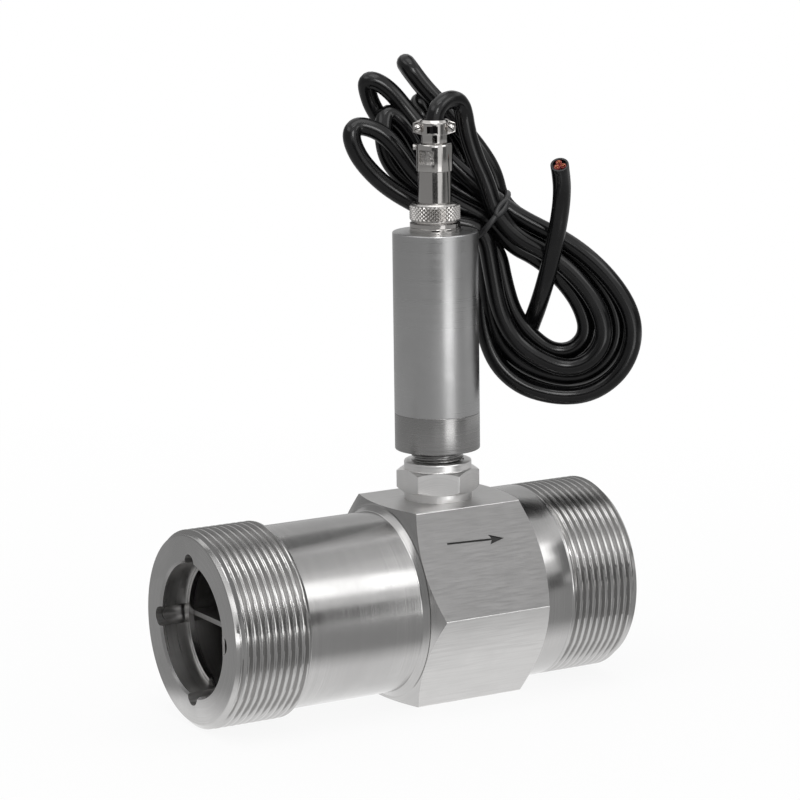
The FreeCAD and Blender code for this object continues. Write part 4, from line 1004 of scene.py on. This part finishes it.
@dataclass
class CableSocket(CameraSide):
    """The three-pin socket in the top of the housing, with its nuts."""

    body_radius: float = 6.0
    wall: float = 1.2
    flange_height: float = 1.4
    hole_right: float = 2.3
    hole_radius: float = 0.42

    def build(self) -> None:
        """Builds the flange with its small hole and dresses the rest."""
        (low, high, radius), seat = box("socket_shell"), box("housing_tube")[1]
        top, body, inner = seat + self.flange_height, self.body_radius, self.body_radius - self.wall
        shell = turned_ring("socket_body", self.axis, [
            (low, inner, 0), (low, body, 0), (seat, body, 0), (seat, radius, 0.1), (top, radius, 0.25),
            (top, body, 0), (high, body, 0.2), (high, inner, 0)])
        centre = self.spot(self.hole_right, 1 - radius, seat + self.flange_height * 0.55)
        hole = TurnAxis(centre, self.back, self.right, UP).circle(self.hole_radius, 16)
        carved(shell, [prism("flange_hole", hole, self.back * -2)])
        self.mount(shell, Finish.NICKEL, "meter", "nickel", "socket_shell")
        self.nodes(socket_ring_nut=Finish.NICKEL, socket_nut=Finish.NICKEL,
                   socket_insert=Finish.MOULDED_BLACK, socket_pins=Finish.CONTACT_BRASS)


@dataclass
class CablePlug(CameraSide):
    """The plug: knurled coupling ring, barrel, sleeve with its recess, and the cable clamp."""

    knurl_depth: float = 0.42
    knurl_share: float = 0.98
    knurl_columns: int = 34
    knurl_rows: int = 7
    lip_height: float = 1.2
    cable_hole: float = 3.0
    recess_turn: float = math.radians(28)
    recess_spread: float = math.radians(27)
    recess_heights: Pair = (162.7, 167.0)
    recess_steps: int = 12
    recess_depth: float = 0.56
    ledge: float = 0.75
    saddle_height: float = 4.4
    arch_outside: float = 4.3
    arch_inside: float = 3.05
    ear_end: float = 6.4
    screw_place: float = 5.0

    def build(self) -> None:
        """Builds the plug from the bottom up."""
        self._coupling_ring()
        self._barrel()
        self._sleeve()
        self._clamp()
        self.nodes(plug_insert=Finish.MOULDED_BLACK, plug_contacts=Finish.CONTACT_BRASS,
                   sleeve_screw=Finish.NICKEL)

    def _coupling_ring(self) -> None:
        """Ring with plain chamfered rims and a diamond knurl between them."""
        low, high, radius = box("coupling_ring")
        core, bore, lip, lip_low = radius - self.knurl_depth, 6.05, 5.1, high - self.lip_height
        ring = turned_ring("knurled_ring", self.axis, [
            (low, bore, 0), (low, core - 0.25, 0.1), (low + 0.5, core, 0.1), (high - 0.55, core, 0.1),
            (high, core - 0.55, 0.15), (high, lip, 0.1), (lip_low, lip, 0), (lip_low, bore, 0)])
        pitch = (high - low - 1.1) / (self.knurl_rows + 1) * MM
        self.tool.apply(
            ring, self.finishes.materials[Finish.KNURLED_NICKEL], Centre=self.axis.centre * MM,
            Radius=(core - 0.02) * MM, Columns=self.knurl_columns, Rows=self.knurl_rows,
            Low=(low + 0.5) * MM + pitch, Row_Pitch=pitch, Half_Height=pitch * self.knurl_share,
            Half_Width=math.pi * radius / self.knurl_columns * self.knurl_share * MM,
            Depth=self.knurl_depth * MM)
        self.mount(smoothed(ring, 20), None, "plug_ring", "nickel", "coupling_ring")

    def _barrel(self) -> None:
        """Plain lower barrel with its collar inside the coupling ring."""
        low, high, _ = box("plug_barrel")
        top, lip_low = box("plug_sleeve")[0] - 0.05, box("coupling_ring")[1] - self.lip_height - 0.05
        bore, shank, foot, collar, neck, spigot = 3.75, 4.75, 149.05, 5.95, 5.05, 4.55
        shell = turned_ring("barrel", self.axis, [
            (low, bore, 0), (low, shank, 0), (foot, shank, 0), (foot, collar, 0), (lip_low, collar, 0),
            (lip_low, neck, 0), (top, neck, 0.12), (top, spigot, 0), (high, spigot, 0), (high, bore, 0)])
        self.mount(shell, Finish.NICKEL, "plug", "nickel", "plug_barrel")

    def _sleeve(self) -> None:
        """Upper sleeve with a rounded shoulder and a shallow recess in its side."""
        (low, high, radius), bore, hole = box("plug_sleeve"), 4.6, self.cable_hole
        shell = turned_ring("sleeve", self.axis, [
            (low, bore, 0), (low, radius, 0.15), (high, radius, 0.85), (high, hole, 0.1),
            (low + 4.4, hole, 0), (low + 4.4, bore, 0)])
        (bottom, top), floor, outside = self.recess_heights, radius - self.recess_depth, radius + 1
        drop = self.ledge * (outside - floor) / (radius - floor)
        corners = [(floor, bottom + self.ledge), (floor, top), (outside, top),
                   (outside, bottom + self.ledge - drop)]
        layers = []
        for i in range(self.recess_steps + 1):
            side = self.recess_spread * (2 * i / self.recess_steps - 1) - self.recess_turn
            across, deep = math.sin(side), -math.cos(side)
            layers.append([self.spot(out * across, out * deep, up) for out, up in corners])
        carved(shell, [lofted("recess", layers)])
        self.finishes.dress(shell, Finish.NICKEL, Finish.GROUND_NICKEL)
        for face in shell.data.polygons:
            out = face.center / MM - self.spot(0, 0, face.center.z / MM)
            in_recess = bottom < face.center.z / MM < top and floor - 0.05 < out.length < radius - 0.02
            face.material_index = int(in_recess and face.normal.dot(out) > 0)
        self.mount(shell, None, "plug", "nickel", "plug_sleeve")

    def _clamp(self) -> None:
        """Neck and two saddles with rounded ears, drawn together by two screws."""
        low, high, hole = box("plug_sleeve")[1], box("clamp_saddle")[1], self.cable_hole
        foot, seat = low + 0.05, high - self.saddle_height
        neck = turned_ring("clamp_neck", self.axis, [
            (foot, hole, 0), (foot, 4.05, 0.1), (seat + 0.5, 4.05, 0.1), (seat + 0.5, hole, 0)], 64)
        collar = turned_ring("clamp_collar", self.axis, [
            (high - 1.05, hole, 0), (high - 1.05, 4.5, 0.12), (high - 0.8, 4.5, 0.12),
            (high + 0.05, 3.8, 0.15), (high + 0.05, hole, 0.1)], 64)
        carved(neck, [self._opening("slot", -0.5, 0.9, low + 0.35, seat - 0.15)])
        rear = self._saddle("saddle_rear", 1, seat, high)
        front = self._saddle("saddle_front", -1, seat, high - 1.1)
        carved(front, [self._opening("gap", -2.2, 1.1, seat + 0.35, high - 1.7)])
        fixings = joined("clamp_fixings", [
            self._screw(f"screw_{name}", side * self.screw_place, (seat + high) / 2 - 0.2, tilt)
            for name, side, tilt in (("left", -1, 25), ("right", 1, -40))])
        for piece, node in ((joined("clamp_base", [neck, collar, rear]), "clamp_body"),
                            (front, "clamp_saddle"), (fixings, "clamp_screws")):
            self.mount(piece, Finish.NICKEL, "plug", "nickel", node)

    def _opening(self, name: str, left: float, right: float, low: float, high: float) -> Piece:
        """Block that cuts an opening through the front wall of the clamp, down to the cable."""
        corners = ((left, low), (right, low), (right, high), (left, high))
        return prism(name, [self.spot(across, -6, up) for across, up in corners], self.back * 4)

    def _saddle(self, name: str, side: int, low: float, high: float) -> Piece:
        """One half of the clamp: an arch round the cable with an ear at each end.

        Args:
            name: name of the piece.
            side: 1 for the rear half, -1 for the front half.
            low: bottom of the arch.
            high: top of the arch.

        Returns:
            The new object.
        """
        end, split, ear_back, layers = self.ear_end, 0.4, 1.5, 7
        arches = ((self.arch_outside, range(22, 159, 8)), (self.arch_inside, range(172, 7, -10)))
        outer, inner = (
            [(radius * math.cos(turn), radius * math.sin(turn)) for turn in map(math.radians, degrees)]
            for radius, degrees in arches)
        outline = [(end, split), (end, ear_back), *((x, max(y, ear_back)) for x, y in outer),
                   (-end, ear_back), (-end, split), *inner]
        rows = []
        for share in (-math.cos(math.pi * k / layers) / 2 for k in range(layers + 1)):
            over = [max(0.0, (abs(across) - 4.4) / (end - 4.4)) for across, _ in outline]
            lifts = [(high - low) * share * math.sqrt(max(0.0, 1 - (0.86 * part) ** 2)) for part in over]
            rows.append([self.spot(across, side * deep, (low + high) / 2 + lift)
                         for (across, deep), lift in zip(outline, lifts)])
        return softened(lofted(name, rows), 0.12)

    def _screw(self, name: str, across: float, height: float, tilt: float) -> Piece:
        """Slotted cheese-head screw through both ears, its slot tilted by some degrees."""
        axis = TurnAxis(self.spot(across, 0, height), self.back, self.right, UP)
        front, back, head_back, head, shank, tip = -3.1, 2.4, -1.65, 1.3, 0.8, 0.02
        screw = turned_ring(name, axis, [
            (front, tip, 0), (front + 0.08, 0.6, 0.3), (front + 0.45, 1.15, 0.4), (front + 0.9, head, 0.2),
            (head_back, head, 0.05), (head_back, shank, 0), (back, shank, 0.15), (back, tip, 0)], 40)
        tilt = math.radians(tilt)
        along = self.right * math.cos(tilt) + UP * math.sin(tilt)
        wide = self.right * -math.sin(tilt) + UP * math.cos(tilt)
        centre = axis.point(front + 0.45, 0, 0)
        slot = [centre + along * 2 * i + wide * 0.2 * j for i, j in ((-1, -1), (1, -1), (1, 1), (-1, 1))]
        return carved(screw, [prism("slot", slot, self.back * -2)])


@dataclass(frozen=True)
class Lobe:
    """One turn of the cable round the right-hand side of the hank, in its place in the bundle."""

    outwards: float
    depth: float


@dataclass(frozen=True)
class Fold:
    """One fold of the cable on the left of the tie: out along the lower strand and back along the upper."""

    lower: tuple[Pair, ...]
    upper: tuple[Pair, ...]
    depth: float
    spread: float


def round_curve(name: str, radius: float, detail: tuple[int, int], strands: Sequence[Sequence[Vector]],
                cyclic: bool) -> Piece:
    """Makes a smooth curve with a round section.

    Args:
        name: name of the object.
        radius: radius of the section.
        detail: spans between two points, and in a quarter of the section.
        strands: the points of each spline.
        cyclic: whether the splines close; if not, they reach their end points.

    Returns:
        The new object.
    """
    curve = bpy.data.curves.new(name, "CURVE")
    curve.dimensions, curve.use_fill_caps, curve.bevel_depth = "3D", True, radius * MM
    curve.resolution_u, curve.bevel_resolution = detail
    for places in strands:
        spline = curve.splines.new("NURBS")
        spline.points.add(len(places) - 1)
        for target, place in zip(spline.points, places):
            target.co = (*(place * MM), 1.0)
        spline.order_u = 4 if cyclic else 3
        spline.use_cyclic_u, spline.use_endpoint_u = cyclic, not cyclic
    return linked(name, curve)


@dataclass
class SignalCable(CameraSide):
    """The cable: up out of the clamp, over to the tie, six turns and five folds, and a bare tail.

    Places are to the right of the plug's axis, behind it, and above the ground.
    """

    diameter: float = 5.6
    length: float = 1420.0
    lead: tuple[Spot, ...] = (
        (0.0, 0.0, 170.5), (0.1, 0.0, 173.0), (0.1, 0.1, 175.6), (0.9, 0.6, 178.8), (3.1, 2.7, 181.0),
        (6.1, 5.3, 181.4), (8.3, 7.7, 179.7), (9.3, 9.1, 176.3), (9.8, 9.7, 172.5), (11.0, 10.4, 167.4),
        (13.0, 11.5, 161.6), (15.8, 13.2, 155.2))
    inner_turn: tuple[Pair, ...] = (
        (24.0, 134.5), (31.0, 131.0), (38.5, 124.8), (45.0, 116.0), (47.4, 107.0), (43.0, 101.3),
        (36.0, 100.8), (29.0, 106.3), (24.0, 113.5), (21.3, 123.0), (19.5, 133.0))
    outer_turn: tuple[Pair, ...] = (
        (27.5, 142.5), (41.5, 135.5), (52.5, 126.0), (60.0, 115.0), (61.5, 105.0), (57.5, 95.0),
        (48.5, 88.2), (37.5, 87.2), (25.0, 91.0), (16.5, 100.5), (13.8, 118.0))
    tie_centre: Pair = (17.0, 142.9)
    tie_line: Pair = (0.633, 0.774)
    hank_depth: float = 24.0
    lobes: tuple[Lobe, ...] = (
        Lobe(0.36, 15.5), Lobe(0.0, 20.5), Lobe(0.68, 22.0), Lobe(1.0, 17.5), Lobe(0.86, 27.0),
        Lobe(0.46, 31.5))
    folds: tuple[Fold, ...] = (
        Fold(((4.0, 142.8), (-5.0, 148.2), (-12.0, 152.2), (-17.9, 157.0), (-23.3, 163.6), (-25.5, 170.4)),
             ((-22.9, 172.9), (-16.0, 170.6), (-11.0, 165.2), (-5.2, 156.4), (4.4, 149.0)), 15.0, 1.2),
        Fold(((4.0, 146.6), (-6.5, 153.2), (-13.6, 160.1), (-15.6, 168.2)),
             ((-14.6, 177.0), (-8.0, 171.2), (-3.0, 161.6), (4.4, 152.4)), 22.0, 2.2),
        Fold(((4.0, 149.0), (-9.0, 163.1), (-16.2, 173.1), (-19.5, 179.0)),
             ((-20.7, 186.3), (-14.2, 183.8), (-7.0, 174.8), (4.0, 160.8)), 26.5, -1.4),
        Fold(((13.4, 155.0), (12.0, 163.0), (4.6, 173.4), (-2.6, 181.6), (-8.0, 188.9)),
             ((-8.4, 191.1), (-2.6, 182.8), (5.0, 175.0), (13.6, 164.6), (18.6, 156.5)), 31.5, -4.2),
        Fold(((9.5, 151.0), (3.4, 161.0), (-1.3, 170.0), (-4.4, 175.6)),
             ((-4.2, 178.5), (0.8, 173.4), (6.4, 165.0), (11.0, 154.0)), 34.0, 3.0))
    upper_slots: tuple[Pair, ...] = (
        (-9.7, 2.8), (-4.85, 0.0), (0.0, 2.8), (-4.85, 5.6), (4.85, 5.6), (9.7, 0.0))
    lower_slots: tuple[Pair, ...] = ((-9.7, -2.8), (-4.85, -5.6), (0.0, -2.8), (4.85, 0.0), (4.85, -5.6))
    last_turn_points: int = 7
    tail: tuple[Spot, ...] = (
        (35.0, 31.0, 92.5), (29.0, 29.5, 95.0), (27.6, 27.0, 101.5), (29.4, 23.0, 108.5),
        (31.4, 18.0, 115.0), (33.4, 13.5, 122.5), (35.4, 10.6, 131.0), (37.2, 9.0, 140.0),
        (38.4, 8.0, 147.5), (38.7, 6.6, 153.0), (38.4, 4.2, 157.3), (37.8, 1.2, 160.9))
    tie_height: float = 9.384
    tie_depth: float = 14.484
    tie_wire: float = 1.9
    tie_loop: Spot = (5.6, 2.5, 0.82)
    core_circle: float = 1.12

    def build(self) -> None:
        route = [self.spot(*point) for point in self.route()]
        cord = round_curve("signal_cable", self.diameter / 2, (8, 5), [route], False)
        self.mount(cord, Finish.CABLE_JACKET, "plug", "cable_jacket", "cable_lead", "cable_hank",
                   "cable_tail")
        end, tie = self._cut_end(*route[-2:]), self._tie()
        tuple(self.spot(0, 0, 175.8) * MM)

    def _slot(self, depth: float, height: float) -> Spot:
        """Place of a strand where it passes through the tie."""
        return (self.tie_centre[0] + self.tie_line[0] * height, self.hank_depth + depth,
                self.tie_centre[1] + self.tie_line[1] * height)

    def _turn_points(self, lobe: Lobe, enter: Spot, leave: Spot, count: int) -> list[Spot]:
        """Points of one turn, between the smallest and the largest, fanned out from the tie in depth."""
        size = len(self.inner_turn)
        pulls = {0: (enter, 0.6), 1: (enter, 0.25), size - 2: (leave, 0.25), size - 1: (leave, 0.6)}
        points = []
        for i, (near, far) in enumerate(list(zip(self.inner_turn, self.outer_turn))[:count]):
            slot, share = pulls.get(i, (enter, 0.0))
            right, up = (between(low, high, lobe.outwards) for low, high in zip(near, far))
            points.append((right, between(lobe.depth, slot[1], share), up))
        return points

    @staticmethod
    def _fold_points(fold: Fold, leave: Spot, enter: Spot) -> list[Spot]:
        """Points of one fold, its lower strand in front of its upper strand."""
        front, behind = fold.depth - fold.spread, fold.depth + fold.spread
        lower = [(right, front, up) for right, up in fold.lower]
        upper = [(right, behind, up) for right, up in fold.upper]
        lower[0] = (lower[0][0], between(front, leave[1], 0.5), lower[0][2])
        upper[-1] = (upper[-1][0], between(behind, enter[1], 0.5), upper[-1][2])
        return lower + upper

    def route(self) -> list[Spot]:
        """The whole route of the cable, from the clamp to the cut end."""
        points = list(self.lead)
        enters = [self._slot(*slot) for slot in self.upper_slots]
        leaves = [self._slot(*slot) for slot in self.lower_slots]
        for lobe, fold, enter, leave, following in zip(self.lobes, self.folds, enters, leaves, enters[1:]):
            turn = self._turn_points(lobe, enter, leave, len(self.inner_turn))
            points += [enter, *turn, leave, *self._fold_points(fold, leave, following)]
        last = self._turn_points(self.lobes[-1], enters[-1], enters[-1], self.last_turn_points)
        return [*points, enters[-1], *last, *self.tail]

    def _cut_end(self, before: Vector, tip: Vector) -> list[Piece]:
        """The sawn-off end: the jacket's rim, three covered cores and their copper strands."""
        upward = (tip - before).normalized()
        side = upward.cross(Vector((0, 1, 0))).normalized()
        axis = TurnAxis(tip, upward, side, upward.cross(side))
        outside = self.diameter / 2 + 0.01
        rim = turned_ring("jacket_rim", axis, [
            (-1, 2.15, 0), (-1, outside, 0), (1, outside, 0.12), (1, 2.15, 0.1)], 48)
        cover = joined("core_covers", [
            turned_ring(f"core_{i}", replace(axis, centre=centre), [
                (-0.8, 0.62, 0), (-0.8, 0.92, 0), (0.85, 0.92, 0.08), (0.85, 0.62, 0.05)], 24)
            for i, centre in enumerate(axis.circle(self.core_circle, 3))])
        strands = linked("copper_strands", bpy.data.meshes.new("copper_strands"))
        self.tool.apply(strands, self.finishes.materials[Finish.COPPER], Core_Circle=self.core_circle * MM,
                        Bundle_Radius=0.58 * MM, Strand_Radius=0.09 * MM, Length=2.0 * MM)
        turn_to = Matrix((axis.side, axis.rise, upward)).transposed().to_4x4()
        strands.data.transform(Matrix.Translation((tip + upward * 0.2) * MM) @ turn_to)
        smoothed(strands, 40)
        return [self.mount(rim, Finish.CABLE_JACKET, "plug", "cable_jacket"),
                self.mount(cover, Finish.CORE_COVER, "plug", "moulded_black"),
                self.mount(strands, None, "plug", "winding_copper", "cable_cores")]

    def _tie(self) -> Piece:
        """Plastic-covered wire round the hank, with its end bent back in a loop at the front."""
        band = [self.spot(*self._slot(self.tie_depth * math.cos(turn), self.tie_height * math.sin(turn)))
                for turn in even_angles(20)]
        loop, (middle, reach, half_width) = [], self.tie_loop
        for turn in even_angles(14):
            climb, swing = middle + reach * math.cos(turn), half_width * math.sin(turn)
            right, back, up = self._slot(-15.8 + 0.6 * climb, climb)
            loop.append(self.spot(right + self.tie_line[1] * swing, back, up - self.tie_line[0] * swing))
        tie = as_plain_mesh(round_curve("wire_tie", self.tie_wire / 2, (6, 3), [band, loop], True))
        return self.mount(smoothed(tie, 60), Finish.MOULDED_BLACK, "plug", "moulded_black", "cable_tie")


@dataclass
class Studio:
    """Camera at the photograph's viewing angle, white ground, soft lights and dark flags, in metres."""

    eye: Vector = Vector((-0.515160, -0.884782, 0.285774))
    right: Vector = Vector((0.86172086, -0.50721917, -0.01287891))
    up: Vector = Vector((0.105347, 0.1540301, 0.98243409))
    forward: Vector = Vector((0.49632567, 0.8479407, -0.18616497))
    lens: float = 155.08
    centre: Vector = Vector((0.016, 0.0, 0.08))
    floor_reach: float = 3.0
    lamps: tuple[tuple, ...] = (
        ("key", 68.0, 33.0, 1.3, 0.6, 0.4, 1.35), ("fill", -60.0, 42.0, 1.6, 1.0, 0.7, 2.4),
        ("top", 20.0, 82.0, 1.5, 1.1, 0.7, 3.6), ("kicker", 16.0, 62.0, 1.4, 0.5, 0.12, 1.0))
    screens: tuple[tuple, ...] = (
        ("strip", (21.0, 46.0), (2.0, 40.0), 0.36, 1.0),
        ("strip_mid", (21.0, 45.0), (-8.0, 2.0), 0.36, 2.1),
        ("strip_low", (21.0, 47.0), (-14.0, -8.0), 0.36, 3.3),
        ("front_dark", (-16.0, 21.0), (2.4, 17.0), 0.38, 0.04),
        ("front_high", (5.0, 24.0), (24.0, 40.0), 0.6, 8.0),
        ("front_grey", (-16.0, 21.0), (-8.0, 2.4), 0.38, 0.46),
        ("front_low", (-8.0, 21.0), (-14.0, -8.0), 0.38, 0.8),
        ("right_glow", (80.0, 150.0), (-8.5, -1.5), 0.3, 0.75),
        ("right_low", (54.0, 78.0), (-4.0, 11.0), 1.2, 0.12),
        ("right_grey", (78.0, 150.0), (-4.0, 34.0), 1.2, 0.25),
        ("high_grey", (84.0, 136.0), (48.0, 76.0), 1.9, 0.7),
        ("high_dark", (136.0, 176.0), (40.0, 62.0), 1.9, 0.25),
        ("back_grey", (150.0, 210.0), (-2.0, 38.0), 1.6, 0.6),
        ("left_grey", (-150.0, -16.0), (-5.0, 38.0), 0.9, 0.33))

    def build(self) -> None:
        """Sets the stage."""
        bpy.context.scene.view_settings.view_transform = "Standard"
        self._camera()
        self._world()
        self._floor()
        for lamp in self.lamps:
            self._lamp(*lamp)
        for screen in self.screens:
            self._screen(*screen)

    def _camera(self) -> None:
        """The camera, from its place and its three directions."""
        data = bpy.data.cameras.new("camera")
        data.lens, data.sensor_width, data.clip_start, data.clip_end = self.lens, 36.0, 0.01, 50.0
        camera = linked("camera", data)
        turn = Matrix((self.right, self.up, -self.forward)).transposed().to_4x4()
        camera.matrix_world = Matrix.Translation(self.eye) @ turn
        bpy.context.scene.camera = camera

    @staticmethod
    def _rays(wiring: Wiring) -> tuple[Socket, Socket]:
        """1 for camera rays, and 1 for glossy and transmission rays."""
        path = wiring.node("ShaderNodeLightPath").outputs
        mirrored = wiring.math("MAXIMUM", path["Is Glossy Ray"], path["Is Transmission Ray"])
        return path["Is Camera Ray"], mirrored

    def _world(self) -> None:
        """White where it is seen, softer as a light."""
        world = bpy.context.scene.world = bpy.data.worlds.new("studio")
        world.use_nodes = True
        wiring = Wiring(world.node_tree)
        ground = wiring.found("BACKGROUND").inputs
        ground["Color"].default_value = (1, 1, 1, 1)
        seen = wiring.math("MAXIMUM", *self._rays(wiring))
        wiring.feed(ground["Strength"], wiring.spread(seen, 0, 1, 0.75, 1.0))

    def _floor(self) -> None:
        """A white floor that keeps the meter's shadow, and glows brighter for glossy rays close to the body
        as a painted reflection in the metal.
        """
        mesh, reach = bpy.data.meshes.new("floor"), self.floor_reach
        mesh.from_pydata([(x * reach, y * reach, 0) for x, y in ((-1, -1), (1, -1), (1, 1), (-1, 1))],
                         [], [(0, 1, 2, 3)])
        look = Dressing("white_ground")
        look.shader.inputs["Base Color"].default_value = (0.9, 0.9, 0.9, 1)
        look.shader.inputs["Roughness"].default_value = 0.8
        position = look.node("ShaderNodeNewGeometry").outputs["Position"]
        place = look.node("ShaderNodeSeparateXYZ", {0: position}).outputs
        away = look.math("ADD", *(
            look.math("MAXIMUM", look.math("SUBTRACT", look.math("ABSOLUTE", across), half * MM), 0.0)
            for across, half in zip(place, (72, 28))))
        seen, glossy = self._rays(look)
        # Painted reflection: glossy rays see the floor glow at 1.15 next to the body's footprint, falling to
        # 0.44 beyond 26 mm from it.
        mirrored = look.math("MULTIPLY", glossy, look.spread(away, 6 * MM, 26 * MM, 1.15, 0.44))
        share = look.math("MULTIPLY_ADD", seen, look.spread(away, 100 * MM, 500 * MM, 0.9, 1.0), glossy)
        glow = look.node("ShaderNodeEmission", {"Strength": look.math("ADD", seen, mirrored)}).outputs[0]
        mix = look.node("ShaderNodeMixShader", {0: share, 1: look.shader.outputs[0], 2: glow})
        look.feed(look.target.inputs["Surface"], mix.outputs[0])
        mesh.materials.append(look.material)
        linked("floor", mesh)

    def _seen_from(self, azimuth: float, elevation: float, distance: float) -> Vector:
        """A place round the meter, with azimuth 0 towards the camera and positive to its right."""
        toward = -Vector((self.forward.x, self.forward.y, 0)).normalized()
        turn, lift = math.radians(azimuth), math.radians(elevation)
        flat = toward * math.cos(turn) + Vector((-toward.y, toward.x, 0)) * math.sin(turn)
        return self.centre + (flat * math.cos(lift) + UP * math.sin(lift)) * distance

    def _lamp(self, name: str, azimuth: float, elevation: float, distance: float, width: float,
              height: float, watts: float) -> None:
        """A soft rectangular lamp aimed at the meter."""
        data = bpy.data.lights.new(name, "AREA")
        data.shape, data.size, data.size_y, data.energy = "RECTANGLE", width, height, watts
        lamp, place = linked(name, data), self._seen_from(azimuth, elevation, distance)
        turn = (self.centre - place).to_track_quat("-Z", "Y").to_matrix().to_4x4()
        lamp.matrix_world = Matrix.Translation(place) @ turn
        lamp.visible_camera = False

    def _screen(self, name: str, azimuths: Pair, elevations: Pair, distance: float, level: float) -> None:
        """A curved screen of even grey round the meter, which shows only in the metal."""
        columns, rows = 12, 8
        places = [tuple(self._seen_from(between(*azimuths, i / columns), between(*elevations, j / rows),
                                        distance)) for j in range(rows + 1) for i in range(columns + 1)]
        corners = [j * (columns + 1) + i for j in range(rows) for i in range(columns)]
        mesh = bpy.data.meshes.new(name)
        mesh.from_pydata(places, [], [(k, k + 1, k + columns + 2, k + columns + 1) for k in corners])
        look = Dressing(name)
        glow = look.node("ShaderNodeEmission", {"Color": grey(level)})
        look.feed(look.target.inputs["Surface"], glow.outputs[0])
        mesh.materials.append(look.material)
        screen = linked(name, mesh)
        screen.visible_camera = screen.visible_diffuse = screen.visible_shadow = False


def main() -> None:
    """Loads the frame, builds every sub-assembly in order and reports its pieces."""
    logging.basicConfig(level=logging.INFO, format="%(name)s: %(message)s")
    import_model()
    axis_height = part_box("meter_body")[1].z / 2 / MM
    low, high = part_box("housing_tube")
    pickup_place = (low.x + high.x) / 2 / MM
    finishes, thread_tool = FinishRack(axis_height, pickup_place), thread_tree()
    flow, across = Vector((1, 0, 0)), Vector((0, 1, 0))
    pipe = TurnAxis(UP * axis_height, flow, across, UP)
    stem = TurnAxis(flow * pickup_place, UP, flow, across)
    for kind, axis, tool in (
        (SteelBody, pipe, thread_tool), (FlowParts, pipe, None), (PickupMount, stem, thread_tool),
        (AmplifierHousing, stem, None), (CableSocket, stem, None), (CablePlug, stem, knurl_tree()),
        (SignalCable, stem, strand_tree())):
        assembly = kind(finishes, axis, tool)
        assembly.build()
        for name in assembly.built:
            LOG.info("%s: %s", kind.__name__, name)
    Studio().build()


if __name__ == "__main__":
    main()
